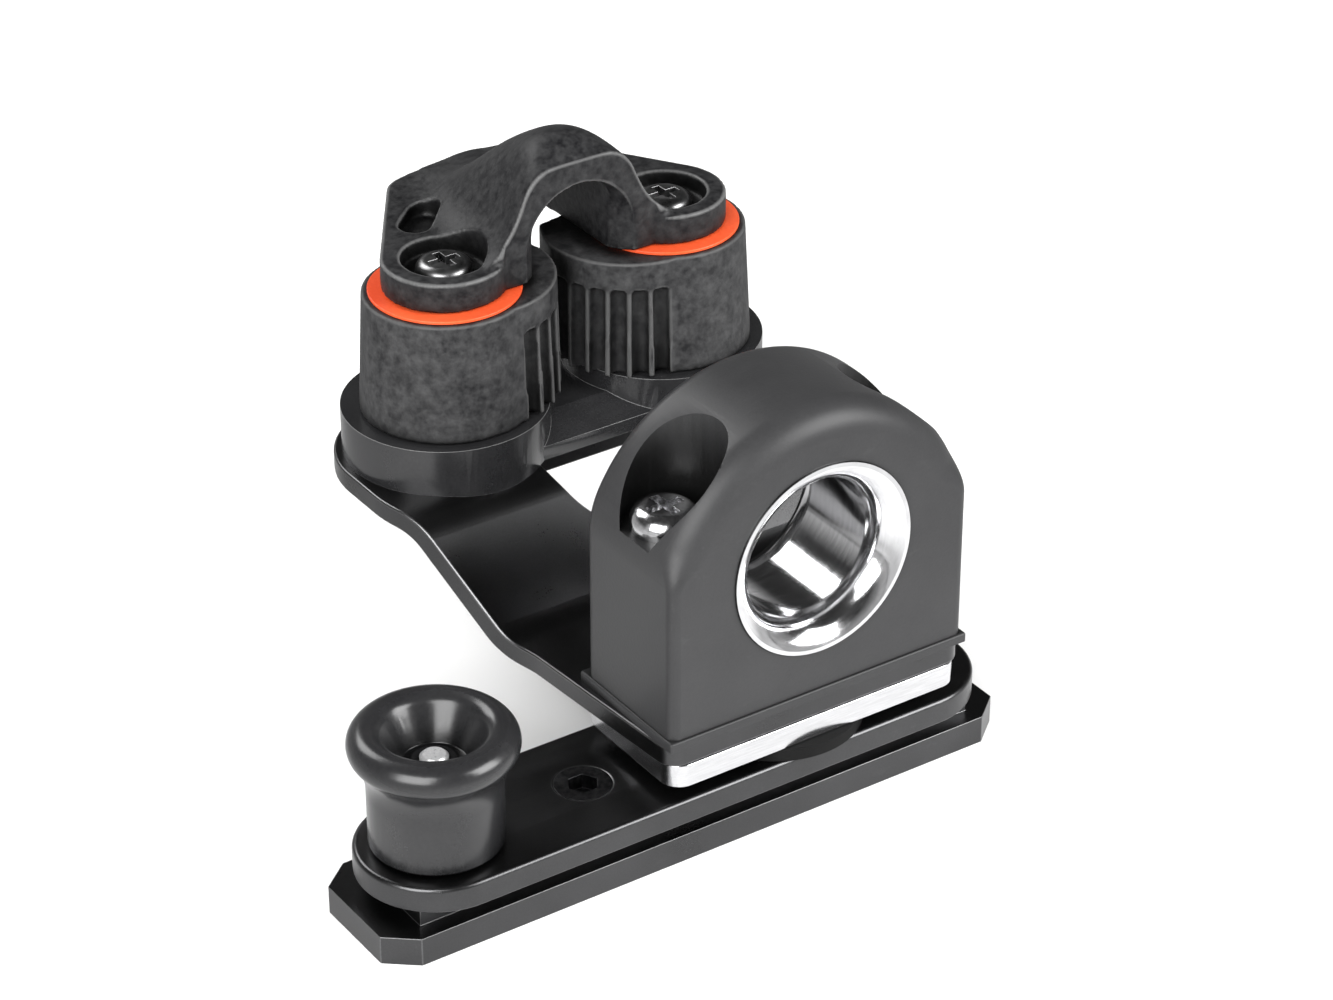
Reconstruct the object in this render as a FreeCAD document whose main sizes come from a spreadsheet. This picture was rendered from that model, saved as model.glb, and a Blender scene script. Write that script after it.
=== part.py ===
import FreeCAD, Part
import math
import os
import re
import Sketcher
from FreeCAD import Vector

# Track car with a plunger stop, a swivelling through fairlead and a cam cleat on its arm.
# Millimetres. The origin is on the swivel axis at the underside of the runner.
# +X runs along the track, +Y from the fairlead back to the cleat, +Z up.

doc = FreeCAD.newDocument("SwivelFairlead")
sizes = doc.addObject("Spreadsheet::Sheet", "Sizes")

driving = {
    # slide
    "flangeHeight": 4.4,
    "flangeWidth": 21.0,
    "neckHeight": 2.8,
    "neckWidth": 15.6,
    "neckInset": 4.0,
    "runnerTail": 13.4,
    "runnerNose": 13.0,
    "bevelLength": 4.4,
    "bevelWidth": 3.6,
    "plateWidth": 23.2,
    "plateThick": 3.8,
    "plateRound": 0.7,
    "noseOffset": 21.4,
    "plungerOffset": 55.8,
    "slideScrewRear": 32.2,
    "slideScrewFront": 19.0,
    "slideScrewHead": 4.2,
    "slideScrewShank": 2.5,
    "slideScrewLength": 9.0,
    "slideSocket": 2.3,
    # plunger
    "stepHeight": 4.2,
    "barrelRadius": 6.2,
    "barrelBore": 4.8,
    "barrelStand": 8.6,
    "barrelCap": 1.8,
    "pinRadius": 3.5,
    "pinReach": 3.0,
    "collarRadius": 4.6,
    "collarHeight": 2.0,
    "stemRadius": 1.5,
    "stemHead": 2.0,
    "stemHeadHeight": 0.8,
    "springWire": 0.35,
    "springTurns": 6.0,
    "knobRadius": 9.4,
    "knobHeight": 18.6,
    "knobRimAxis": 9.2,
    "knobRimRadius": 2.6,
    "knobNeckRadius": 8.0,
    "knobMouth": 7.0,
    "knobFloorRadius": 4.6,
    "knobFloorDepth": 6.0,
    "knobBoss": 3.2,
    "knobBossHeight": 0.7,
    # swivel
    "thrustThick": 2.0,
    "thrustRadius": 13.0,
    "swivelLength": 49.6,
    "swivelWidth": 22.6,
    "swivelThick": 3.6,
    "swivelCorner": 3.0,
    "boltRadius": 4.0,
    "boltHead": 7.4,
    "boltHeadEdge": 0.8,
    "boltSink": 0.5,
    "boltSocket": 2.6,
    "bushRadius": 6.0,
    "pivotWasherRadius": 8.0,
    "pivotWasherThick": 1.2,
    "nutFlats": 13.0,
    "nutHeight": 5.2,
    "boltProud": 0.8,
    # arm
    "armThick": 3.2,
    "armRise": 14.4,
    "armFront": 11.2,
    "armNeckHalf": 25.2,
    "armHipHalf": 27.5,
    "armHipReach": 21.0,
    "armTailHalf": 35.6,
    "armTailFront": 46.0,
    "armRear": 72.2,
    "armFrontCorner": 3.0,
    "armRearCorner": 15.5,
    "armBlend": 22.0,
    "rampStart": 22.0,
    "rampAngle": 42.0,
    "bendRadius": 7.0,
    "windowHalf": 10.8,
    "windowBack": 43.0,
    "windowRear": 45.6,
    # fairlead block
    "blockHalf": 25.0,
    "blockFront": 11.3,
    "blockRear": 10.6,
    "archSpring": 24.5,
    "archRise": 20.7,
    "archSide": 14.0,
    "frontRound": 4.6,
    "frontSpringRound": 1.6,
    "rearRound": 2.6,
    "footHeight": 1.4,
    "footProud": 0.4,
    "blockScrewOffset": 18.6,
    "blockScrewBack": 0.2,
    "blockScrewHead": 4.9,
    "blockScrewHeadHeight": 3.3,
    "blockScrewShank": 2.5,
    "pocketRadius": 7.3,
    "pocketFloor": 28.4,
    "pocketShift": 1.2,
    "pocketInset": 0.6,
    "nutWellRadius": 9.0,
    "nutWellRoof": 1.0,
    # liner
    "boreHeight": 22.3,
    "throatRadius": 10.6,
    "linerRim": 14.65,
    "linerLip": 0.6,
    "linerWall": 1.1,
    "linerProud": 0.3,
    # cleat
    "cleatHalf": 19.0,
    "cleatBack": 55.5,
    "lobeRadius": 15.4,
    "lobeShift": 0.9,
    "baseHeight": 7.3,
    "webFront": 44.0,
    "webRear": 68.0,
    "webHeight": 4.2,
    "webNose": 2.2,
    "webSlope": 6.0,
    "springWell": 8.4,
    "springWellDepth": 3.8,
    "camSpringWire": 0.45,
    "camSpringRadius": 6.7,
    "camSpringTurns": 2.0,
    "camSpringSeat": 0.1,
    "camSpringSlack": 0.4,
    "sleeveRadius": 4.2,
    "cleatScrewShank": 2.5,
    "cleatScrewHead": 4.2,
    "cleatScrewHeadHeight": 2.3,
    "camHeight": 18.5,
    "camTopRadius": 12.1,
    "camFootRadius": 13.0,
    "camNoseGap": 0.5,
    "camNoseAngle": 172.0,
    "camNoseLand": 22.0,
    "camHeelAngle": 245.0,
    "camFlank": 13.5,
    "camNoseRound": 0.8,
    "fluteCount": 6.0,
    "fluteRadius": 1.25,
    "fluteDepth": 1.1,
    "fluteStop": 4.4,
    "fluteStart": 8.0,
    "flutePitch": 13.5,
    "ringRadius": 11.2,
    "ringBore": 8.2,
    "ringThick": 0.5,
    # cap
    "capShoulder": 4.5,
    "capLobe": 9.2,
    "capTailHalf": 10.2,
    "capTailRadius": 5.6,
    "capTailBack": 19.9,
    "hoodFootHalf": 16.5,
    "hoodInset": 2.4,
    "hoodFront": 16.9,
    "hoodPeak": 19.6,
    "hoodTail": 5.0,
    "tunnelHalf": 6.6,
    "tunnelTailHalf": 6.0,
    "tunnelFlare": 4.0,
    "hoodWall": 3.5,
    "capRecess": 6.3,
    "capFloor": 1.7,
    "hollowReach": 10.8,
    "hollowRadius": 2.4,
    "hollowDepth": 2.2,
    "hollowInset": 1.7,
    "hollowAcross": 3.5,
    "hollowAlong": 3.2,
    "hoodOverrun": 0.5,
    # clearances
    "runningGap": 0.06,
    "screwGap": 0.05,
    "fitGap": 0.05,
    "liftGap": 0.25,
    "skirtGap": 0.5,
    "screwClearance": 0.25,
    "cutPast": 1.0,
}

# Levels and places that follow from the sizes above.
derived = {
    "plateUnder": "flangeHeight + neckHeight",
    "plateTop": "plateUnder + plateThick",
    "swivelUnder": "plateTop + thrustThick",
    "swivelTop": "swivelUnder + swivelThick",
    "armTop": "swivelTop + armThick",
    "platformUnder": "swivelTop + armRise",
    "platformTop": "platformUnder + armThick",
    "baseTop": "platformTop + baseHeight",
    "camUnder": "baseTop + liftGap",
    "camTop": "camUnder + camHeight",
    "camNose": "cleatHalf - camNoseGap",
    "ringTop": "camTop + ringThick",
    "capUnder": "ringTop + liftGap",
    "barrelTop": "plateTop + barrelStand",
    "knobUnder": "plateTop + liftGap",
    "knobTop": "plateTop + knobHeight",
    "knobFloor": "knobTop - knobFloorDepth",
    "knobWeb": "barrelTop + skirtGap",
    "boltTop": "armTop + pivotWasherThick + nutHeight + boltProud",
    "boreLevel": "armTop + boreHeight",
    "bendOuter": "bendRadius + armThick",
    "bendLift": "(bendRadius + bendOuter) * (1 - cos(rampAngle))",
    "rampRun": "(armRise - bendLift) / sin(rampAngle)",
    "rampEnd": "rampStart + (bendRadius + bendOuter) * sin(rampAngle) + rampRun * cos(rampAngle)",
}


def bind(text):
    def expand(match):
        word = match.group(0)
        if word in derived:
            return "(" + bind(derived[word]) + ")"
        if word in driving:
            return "Sizes." + word
        return word
    return re.sub(r"[A-Za-z]+", expand, text)


for row, (name, number) in enumerate(driving.items(), start=1):
    sizes.set("A%d" % row, name)
    sizes.set("B%d" % row, str(number))
    sizes.setAlias("B%d" % row, name)
doc.recompute()


def size(text):
    value = sizes.evalExpression(bind(text))
    return float(getattr(value, "Value", value))


def setSize(item, prop, text):
    item.setExpression(prop, bind(text))


# Sketches

def sketchOn(body, name, plane, lift="0"):
    sketch = body.newObject("Sketcher::SketchObject", name)
    origin = [f for f in body.Origin.OriginFeatures if f.Role == plane][0]
    sketch.AttachmentSupport = [(origin, "")]
    sketch.MapMode = "FlatFace"
    setSize(sketch, ".AttachmentOffset.Base.z", lift)
    return sketch


def hold(sketch, kind, element, vertex, text):
    index = sketch.addConstraint(Sketcher.Constraint(kind, element, vertex, size(text)))
    setSize(sketch, "Constraints[%d]" % index, text)


def outline(sketch, path):
    # Each corner is (x, y) after a straight edge, or (x, y, cx, cy, way) after an arc
    # about (cx, cy); the path closes on its first corner.
    ends = []
    for index, corner in enumerate(path):
        before = path[index - 1]
        start = Vector(size(before[0]), size(before[1]), 0)
        end = Vector(size(corner[0]), size(corner[1]), 0)
        if len(corner) == 2:
            edge = sketch.addGeometry(Part.LineSegment(start, end))
            ends.append((edge, 1, 2))
            continue
        centre = Vector(size(corner[2]), size(corner[3]), 0)
        first, last = (start, end) if corner[4] == "ccw" else (end, start)
        circle = Part.Circle(centre, Vector(0, 0, 1), (first - centre).Length)
        angles = [math.atan2(p.y - centre.y, p.x - centre.x) for p in (first, last)]
        if angles[1] <= angles[0]:
            angles[1] += 2 * math.pi
        edge = sketch.addGeometry(Part.ArcOfCircle(circle, angles[0], angles[1]))
        ends.append((edge, 1, 2) if corner[4] == "ccw" else (edge, 2, 1))
    joins = []
    for index, (edge, first, last) in enumerate(ends):
        following = ends[(index + 1) % len(ends)]
        joins.append(Sketcher.Constraint("Coincident", edge, last, following[0], following[1]))
    sketch.addConstraint(joins)
    for (edge, first, last), corner in zip(ends, path):
        hold(sketch, "DistanceX", edge, last, corner[0])
        hold(sketch, "DistanceY", edge, last, corner[1])
    for index, corner in enumerate(path):
        if len(corner) == 2:
            continue
        before = path[index - 1]
        across = abs(size(corner[0]) - size(before[0]))
        along = abs(size(corner[1]) - size(before[1]))
        if along >= across:
            hold(sketch, "DistanceX", ends[index][0], 3, corner[2])
        else:
            hold(sketch, "DistanceY", ends[index][0], 3, corner[3])


def ring(sketch, x, y, radius):
    centre = Vector(size(x), size(y), 0)
    edge = sketch.addGeometry(Part.Circle(centre, Vector(0, 0, 1), size(radius)))
    hold(sketch, "DistanceX", edge, 3, x)
    hold(sketch, "DistanceY", edge, 3, y)
    index = sketch.addConstraint(Sketcher.Constraint("Radius", edge, size(radius)))
    setSize(sketch, "Constraints[%d]" % index, radius)


def box(x0, x1, y0, y1):
    return [(x0, y0), (x1, y0), (x1, y1), (x0, y1)]


def hexagon(flats):
    # corners on the X axis
    corners = []
    for step in range(6):
        angle = 60 * step
        corners.append(("(%s) / 2 / cos(30) * cos(%d)" % (flats, angle),
                        "(%s) / 2 / cos(30) * sin(%d)" % (flats, angle)))
    return corners


# Features

def newBody(name):
    return doc.addObject("PartDesign::Body", name)


def pad(body, name, sketch, length, bothWays=False):
    feature = body.newObject("PartDesign::Pad", name)
    feature.Profile = sketch
    if bothWays:
        feature.SideType = "Symmetric"
    setSize(feature, "Length", length)
    return feature


def pocket(body, name, sketch, length=None):
    # cuts against the sketch's normal; through everything when no depth is given
    feature = body.newObject("PartDesign::Pocket", name)
    feature.Profile = sketch
    if length is None:
        feature.Type = "ThroughAll"
    else:
        setSize(feature, "Length", length)
    return feature


def turn(body, name, sketch, axis="V_Axis", cut=False):
    kind = "PartDesign::Groove" if cut else "PartDesign::Revolution"
    feature = body.newObject(kind, name)
    feature.Profile = sketch
    feature.ReferenceAxis = (sketch, [axis])
    feature.Angle = 360
    return feature


def turned(name, path):
    # solid of revolution about its own Z axis, from a profile of (radius, height)
    body = newBody(name)
    profile = sketchOn(body, name + "Profile", "XZ_Plane")
    outline(profile, path)
    turn(body, name + "Turned", profile)
    return body


def place(item, x="0", y="0", z="0"):
    setSize(item, "Placement.Base.x", x)
    setSize(item, "Placement.Base.y", y)
    setSize(item, "Placement.Base.z", z)


def edgesWhere(shape, test):
    return [index for index, edge in enumerate(shape.Edges, start=1) if test(edge)]


def roundEdges(body, name, base, radius, test):
    doc.recompute()
    feature = body.newObject("PartDesign::Fillet", name)
    feature.Base = (base, ["Edge%d" % index for index in edgesWhere(base.Shape, test)])
    setSize(feature, "Radius", radius)
    return feature


def liesAt(edge, axis, level, slack=0.001):
    values = [getattr(point, axis) for point in edge.discretize(5)]
    return all(abs(value - level) < slack for value in values)


def cutFrom(name, base, tools):
    feature = doc.addObject("Part::Cut", name)
    feature.Base = base
    if len(tools) == 1:
        feature.Tool = tools[0]
    else:
        joined = doc.addObject("Part::MultiFuse", name + "Tools")
        joined.Shapes = tools
        feature.Tool = joined
    return feature


def rod(name, radius, height, x="0", y="0", z="0"):
    item = doc.addObject("Part::Cylinder", name)
    setSize(item, "Radius", radius)
    setSize(item, "Height", height)
    place(item, x, y, z)
    return item


def mirrored(name, source):
    item = doc.addObject("Part::Mirroring", name)
    item.Source = source
    item.Normal = Vector(1, 0, 0)
    item.Base = Vector(0, 0, 0)
    return item


def grouped(name, members):
    item = doc.addObject("Part::Compound", name)
    item.Links = members
    return item


# Slide

def slideRunner():
    body = newBody("SlideRunner")
    rear = "-(plungerOffset + runnerTail)"
    front = "noseOffset + runnerNose"
    side = "flangeWidth / 2"
    flange = sketchOn(body, "FlangeOutline", "XY_Plane")
    outline(flange, [
        (rear + " + bevelLength", "-" + side),
        (front + " - bevelLength", "-" + side),
        (front, "-" + side + " + bevelWidth"),
        (front, side + " - bevelWidth"),
        (front + " - bevelLength", side),
        (rear + " + bevelLength", side),
        (rear, side + " - bevelWidth"),
        (rear, "-" + side + " + bevelWidth"),
    ])
    pad(body, "Flange", flange, "flangeHeight")
    neck = sketchOn(body, "NeckOutline", "XY_Plane")
    outline(neck, box("-(plungerOffset + plateWidth / 2 - neckInset)",
                      "noseOffset + plateWidth / 2 - neckInset",
                      "-neckWidth / 2", "neckWidth / 2"))
    pad(body, "Neck", neck, "plateUnder")
    holes = sketchOn(body, "RunnerHoles", "XY_Plane", "plateUnder")
    ring(holes, "-plungerOffset", "0", "pinRadius + runningGap")
    ring(holes, "0", "0", "boltRadius + screwGap")
    ring(holes, "-slideScrewRear", "0", "slideScrewShank + screwGap")
    ring(holes, "slideScrewFront", "0", "slideScrewShank + screwGap")
    pocket(body, "RunnerHolesCut", holes)
    seat = sketchOn(body, "BarrelSeat", "XY_Plane", "plateUnder")
    ring(seat, "-plungerOffset", "0", "barrelRadius + fitGap")
    pocket(body, "BarrelSeatCut", seat, "plateUnder - stepHeight")
    doc.recompute()
    sink = sketchOn(body, "BoltSink", "XZ_Plane")
    rise = "boltSink + boltHeadEdge + fitGap"
    outline(sink, [
        ("0", "0"),
        ("boltHead + fitGap", "0"),
        ("boltHead + fitGap", rise),
        ("boltRadius + screwGap", rise + " + boltHead + fitGap - boltRadius - screwGap"),
        ("0", rise + " + boltHead + fitGap - boltRadius - screwGap"),
    ])
    turn(body, "BoltSinkCut", sink, cut=True)
    return body


def countersink(name, x, top, head, shank):
    # tool for a flush screw: a cone below the face and a clear hole through it
    body = turned(name, [
        ("0", "-plateThick - 1"),
        (shank, "-plateThick - 1"),
        (shank, "-(%s) + (%s)" % (head, shank)),
        (head, "0"),
        (head, "1"),
        ("0", "1"),
    ])
    place(body, x, "0", top)
    return body


def slidePlate():
    body = newBody("SlidePlateBlank")
    side = "plateWidth / 2"
    plan = sketchOn(body, "PlateOutline", "XY_Plane", "plateUnder")
    outline(plan, [
        ("noseOffset", "-" + side),
        ("noseOffset", side, "noseOffset", "0", "ccw"),
        ("-plungerOffset", side),
        ("-plungerOffset", "-" + side, "-plungerOffset", "0", "ccw"),
    ])
    slab = pad(body, "PlateSlab", plan, "plateThick")
    top = size("plateTop")
    roundEdges(body, "PlateEdge", slab, "plateRound", lambda edge: liesAt(edge, "z", top))
    holes = sketchOn(body, "PlateHoles", "XY_Plane", "plateTop")
    ring(holes, "-plungerOffset", "0", "barrelRadius + fitGap")
    ring(holes, "0", "0", "boltRadius + screwGap")
    pocket(body, "PlateHolesCut", holes)
    head = "slideScrewHead + fitGap"
    shank = "slideScrewShank + screwGap"
    tools = [
        countersink("RearSink", "-slideScrewRear", "plateTop", head, shank),
        countersink("FrontSink", "slideScrewFront", "plateTop", head, shank),
    ]
    return cutFrom("SlidePlate", body, tools)


def flushScrew(name, x):
    body = turned(name, [
        ("0", "-slideScrewLength"),
        ("slideScrewShank - 0.5", "-slideScrewLength"),
        ("slideScrewShank", "0.5 - slideScrewLength"),
        ("slideScrewShank", "slideScrewShank - slideScrewHead"),
        ("slideScrewHead", "0"),
        ("0", "0"),
    ])
    socket = sketchOn(body, name + "Socket", "XY_Plane")
    outline(socket, hexagon("2 * slideSocket * cos(30)"))
    pocket(body, name + "SocketCut", socket, "slideScrewHead - slideScrewShank + 0.6")
    place(body, x, "0", "plateTop")
    return body


def thrustWasher():
    body = newBody("ThrustWasher")
    plan = sketchOn(body, "ThrustOutline", "XY_Plane", "plateTop")
    ring(plan, "0", "0", "thrustRadius")
    ring(plan, "0", "0", "boltRadius + screwGap")
    pad(body, "ThrustDisc", plan, "thrustThick")
    return body


# Plunger stop

def plungerBush():
    bore = "stemRadius + runningGap"
    body = turned("PlungerBush", [
        ("barrelBore", "stepHeight"),
        ("barrelRadius", "stepHeight"),
        ("barrelRadius", "barrelTop - 0.5"),
        ("barrelRadius - 0.5", "barrelTop"),
        (bore, "barrelTop"),
        (bore, "barrelTop - barrelCap"),
        ("barrelBore", "barrelTop - barrelCap"),
    ])
    place(body, "-plungerOffset")
    return body


def plungerPin():
    floor = "knobFloor + knobBossHeight"
    body = turned("PlungerPin", [
        ("0", "-pinReach"),
        ("pinRadius - 0.9", "-pinReach"),
        ("pinRadius", "0.9 - pinReach"),
        ("pinRadius", "stepHeight"),
        ("collarRadius", "stepHeight"),
        ("collarRadius", "stepHeight + collarHeight"),
        ("stemRadius", "stepHeight + collarHeight"),
        ("stemRadius", floor),
        ("stemHead", floor),
        ("stemHead", floor + " + stemHeadHeight / 2"),
        ("stemHead - stemHeadHeight / 2", floor + " + stemHeadHeight"),
        ("0", floor + " + stemHeadHeight"),
    ])
    place(body, "-plungerOffset")
    return body


def plungerSpring():
    # open coil between the collar and the barrel's cap, ends clear of both by the wire
    wire = size("springWire")
    low = size("stepHeight + collarHeight") + wire
    high = size("barrelTop - barrelCap") - wire
    radius = size("(collarRadius + stemRadius) / 2 + springWire / 2")
    pitch = (high - low) / size("springTurns")
    return coil(radius, pitch, high - low, wire, low)


def coil(radius, pitch, height, wire, base):
    # round wire wound on a cylinder, drawn with flat facets
    stations = 12
    sides = 6
    count = int(round(height / pitch * stations))
    slope = math.atan2(pitch, 2 * math.pi * radius)
    rings = []
    for step in range(count + 1):
        angle = 2 * math.pi * step / stations
        radial = Vector(math.cos(angle), math.sin(angle), 0)
        around = Vector(-math.sin(angle), math.cos(angle), 0)
        upward = Vector(0, 0, math.cos(slope)) - around * math.sin(slope)
        centre = radial * radius + Vector(0, 0, base + pitch * step / stations)
        corners = []
        for side in range(sides):
            turnBy = 2 * math.pi * side / sides
            corners.append(centre + (radial * math.cos(turnBy) + upward * math.sin(turnBy)) * wire)
        rings.append(corners)
    faces = [Part.Face(Part.makePolygon(end + [end[0]])) for end in (rings[0], rings[-1])]
    for first, last in zip(rings, rings[1:]):
        for side in range(sides):
            after = (side + 1) % sides
            for corners in ((first[side], first[after], last[side]),
                            (first[after], last[after], last[side])):
                faces.append(Part.Face(Part.makePolygon(list(corners) + [corners[0]])))
    solid = Part.Solid(Part.Shell(faces))
    if solid.Volume < 0:
        solid.reverse()
    return solid


def plungerKnob():
    rimLevel = "knobTop - knobRimRadius"
    reach = "knobNeckRadius + knobRimRadius"
    aside = "knobRadius + knobNeckRadius - knobRimAxis"
    drop = "sqrt((%s)^2 - (%s)^2)" % (reach, aside)
    waist = "%s - %s" % (rimLevel, drop)
    body = turned("PlungerKnob", [
        ("barrelRadius + skirtGap", "knobUnder"),
        ("knobRadius - 0.5", "knobUnder"),
        ("knobRadius", "knobUnder + 0.5"),
        ("knobRadius", waist),
        ("knobRimAxis + knobRimRadius * (%s) / (%s)" % (aside, reach),
         "%s - knobRimRadius * %s / (%s)" % (rimLevel, drop, reach),
         "knobRadius + knobNeckRadius", waist, "cw"),
        ("knobRimAxis", "knobTop", "knobRimAxis", rimLevel, "ccw"),
        ("knobMouth", rimLevel + " + sqrt(knobRimRadius^2 - (knobRimAxis - knobMouth)^2)",
         "knobRimAxis", rimLevel, "ccw"),
        ("knobFloorRadius", "knobFloor"),
        ("knobBoss", "knobFloor"),
        ("knobBoss", "knobFloor + knobBossHeight"),
        ("stemRadius + fitGap", "knobFloor + knobBossHeight"),
        ("stemRadius + fitGap", "knobWeb"),
        ("barrelRadius + skirtGap", "knobWeb"),
    ])
    place(body, "-plungerOffset")
    return body


# Pivot

def pivotBolt():
    body = turned("PivotBolt", [
        ("0", "boltSink"),
        ("boltHead", "boltSink"),
        ("boltHead", "boltSink + boltHeadEdge"),
        ("boltRadius", "boltSink + boltHeadEdge + boltHead - boltRadius"),
        ("boltRadius", "boltTop - 0.6"),
        ("boltRadius - 0.6", "boltTop"),
        ("0", "boltTop"),
    ])
    socket = sketchOn(body, "BoltSocket", "XY_Plane", "boltSink + boltHeadEdge + 2.2")
    outline(socket, hexagon("2 * boltSocket"))
    pocket(body, "BoltSocketCut", socket)
    return body


def pivotWasher():
    body = newBody("PivotWasher")
    plan = sketchOn(body, "WasherOutline", "XY_Plane", "armTop")
    ring(plan, "0", "0", "pivotWasherRadius")
    ring(plan, "0", "0", "boltRadius + screwGap")
    pad(body, "WasherDisc", plan, "pivotWasherThick")
    return body


def pivotNut():
    body = newBody("PivotNut")
    plan = sketchOn(body, "NutOutline", "XY_Plane", "armTop + pivotWasherThick")
    outline(plan, hexagon("nutFlats"))
    ring(plan, "0", "0", "boltRadius + screwGap")
    pad(body, "NutBlank", plan, "nutHeight")
    return body


def pivotBush():
    body = newBody("PivotBush")
    plan = sketchOn(body, "BushOutline", "XY_Plane", "swivelUnder")
    ring(plan, "0", "0", "bushRadius")
    ring(plan, "0", "0", "boltRadius + runningGap")
    pad(body, "BushTube", plan, "swivelThick + armThick")
    return body


def swivelPlate():
    body = newBody("SwivelPlate")
    plan = sketchOn(body, "SwivelOutline", "XY_Plane", "swivelUnder")
    outline(plan, box("-swivelLength / 2", "swivelLength / 2",
                      "-swivelWidth / 2", "swivelWidth / 2"))
    ring(plan, "0", "0", "bushRadius + fitGap")
    ring(plan, "-blockScrewOffset", "-blockScrewBack", "blockScrewShank + screwGap")
    ring(plan, "blockScrewOffset", "-blockScrewBack", "blockScrewShank + screwGap")
    slab = pad(body, "SwivelSlab", plan, "swivelThick")
    half = size("swivelLength / 2")

    def upright(edge):
        ends = [vertex.Point for vertex in edge.Vertexes]
        return len(ends) == 2 and abs(abs(ends[0].x) - half) < 0.001 \
            and (ends[0] - ends[1]).cross(Vector(0, 0, 1)).Length < 0.001
    roundEdges(body, "SwivelCorners", slab, "swivelCorner", upright)
    return body


# Arm

def bentPath(foot, head, front, rear):
    # strip between two surfaces of the bend, foot and head measured up from its underside
    sine = "sin(rampAngle)"
    cosine = "cos(rampAngle)"
    low = "(swivelTop + bendOuter)"
    high = "(platformUnder - bendRadius)"
    lowFoot = "(bendOuter - (%s))" % foot
    lowHead = "(bendOuter - (%s))" % head
    highFoot = "(bendRadius + (%s))" % foot
    highHead = "(bendRadius + (%s))" % head
    return [
        (front, "%s - %s" % (low, lowFoot)),
        ("rampStart", "%s - %s" % (low, lowFoot)),
        ("rampStart + %s * %s" % (lowFoot, sine), "%s - %s * %s" % (low, lowFoot, cosine),
         "rampStart", low, "ccw"),
        ("rampEnd - %s * %s" % (highFoot, sine), "%s + %s * %s" % (high, highFoot, cosine)),
        ("rampEnd", "%s + %s" % (high, highFoot), "rampEnd", high, "cw"),
        (rear, "%s + %s" % (high, highFoot)),
        (rear, "%s + %s" % (high, highHead)),
        ("rampEnd", "%s + %s" % (high, highHead)),
        ("rampEnd - %s * %s" % (highHead, sine), "%s + %s * %s" % (high, highHead, cosine),
         "rampEnd", high, "ccw"),
        ("rampStart + %s * %s" % (lowHead, sine), "%s - %s * %s" % (low, lowHead, cosine)),
        ("rampStart", "%s - %s" % (low, lowHead), "rampStart", low, "cw"),
        (front, "%s - %s" % (low, lowHead)),
    ]


def eased(before, corner, after, radius):
    # the corner as a tangent arc for outline; a straight run keeps its plain corner
    heading = "atan2((%s) - (%s); (%s) - (%s))"
    arriving = heading % (corner[1], before[1], corner[0], before[0])
    leaving = heading % (after[1], corner[1], after[0], corner[0])
    turning = size("(%s - %s) / 1 deg" % (leaving, arriving))
    if abs(turning) < 0.05:
        return [corner]
    way, side = ("ccw", "1") if turning > 0 else ("cw", "-1")
    tangent = "%s * %s * tan((%s - %s) / 2)" % (side, radius, leaving, arriving)
    start = ("%s - %s * cos(%s)" % (corner[0], tangent, arriving),
             "%s - %s * sin(%s)" % (corner[1], tangent, arriving))
    end = ("%s + %s * cos(%s)" % (corner[0], tangent, leaving),
           "%s + %s * sin(%s)" % (corner[1], tangent, leaving))
    centre = ("%s - %s * %s * sin(%s)" % (start[0], side, radius, arriving),
              "%s + %s * %s * cos(%s)" % (start[1], side, radius, arriving))
    return [start, end + centre + (way,)]


def swivelArm():
    strip = newBody("ArmStrip")
    side = sketchOn(strip, "ArmBend", "YZ_Plane")
    outline(side, bentPath("0", "armThick", "-armFront - 5", "armRear + 5"))
    pad(strip, "ArmBent", side, "2 * armTailHalf + 20", bothWays=True)
    plan = newBody("ArmPlan")
    face = sketchOn(plan, "ArmOutline", "XY_Plane", "swivelTop - 5")
    side = [("armNeckHalf", "-armFront"), ("armHipHalf", "armHipReach"),
            ("armTailHalf", "armTailFront"), ("armTailHalf", "armRear")]
    edge = side + [("-" + x, y) for x, y in reversed(side)]
    path = []
    for index, point in enumerate(edge):
        if point in (edge[1], edge[2], edge[5], edge[6]):
            path += eased(edge[index - 1], point, edge[index + 1], "armBlend")
        else:
            path.append(point)
    outline(face, path)
    outline(face, [
        ("-windowHalf", "windowRear"),
        ("-windowHalf", "windowBack"),
        ("windowHalf", "windowBack", "0", "windowBack", "ccw"),
        ("windowHalf", "windowRear"),
    ])
    ring(face, "0", "0", "bushRadius + fitGap")
    for sign in ("-", ""):
        ring(face, sign + "blockScrewOffset", "-blockScrewBack", "blockScrewShank + screwGap")
        ring(face, sign + "cleatHalf", "cleatBack", "cleatScrewShank + screwGap")
    slab = pad(plan, "ArmBlank", face, "armRise + armThick + 10")

    def corner(x, y):
        def test(edge):
            ends = [vertex.Point for vertex in edge.Vertexes]
            if len(ends) != 2 or abs(ends[0].z - ends[1].z) < 1:
                return False
            return abs(abs(ends[0].x) - x) < 0.01 and abs(ends[0].y - y) < 0.01
        return test

    stages = [
        ("ArmFrontCorners", "armFrontCorner", "armNeckHalf", "-armFront"),
        ("ArmRearCorners", "armRearCorner", "armTailHalf", "armRear"),
    ]
    for name, radius, x, y in stages:
        slab = roundEdges(plan, name, slab, radius, corner(size(x), size(y)))
    common = doc.addObject("Part::Common", "SwivelArm")
    common.Base = strip
    common.Tool = plan
    return common


# Fairlead block and liner

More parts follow.
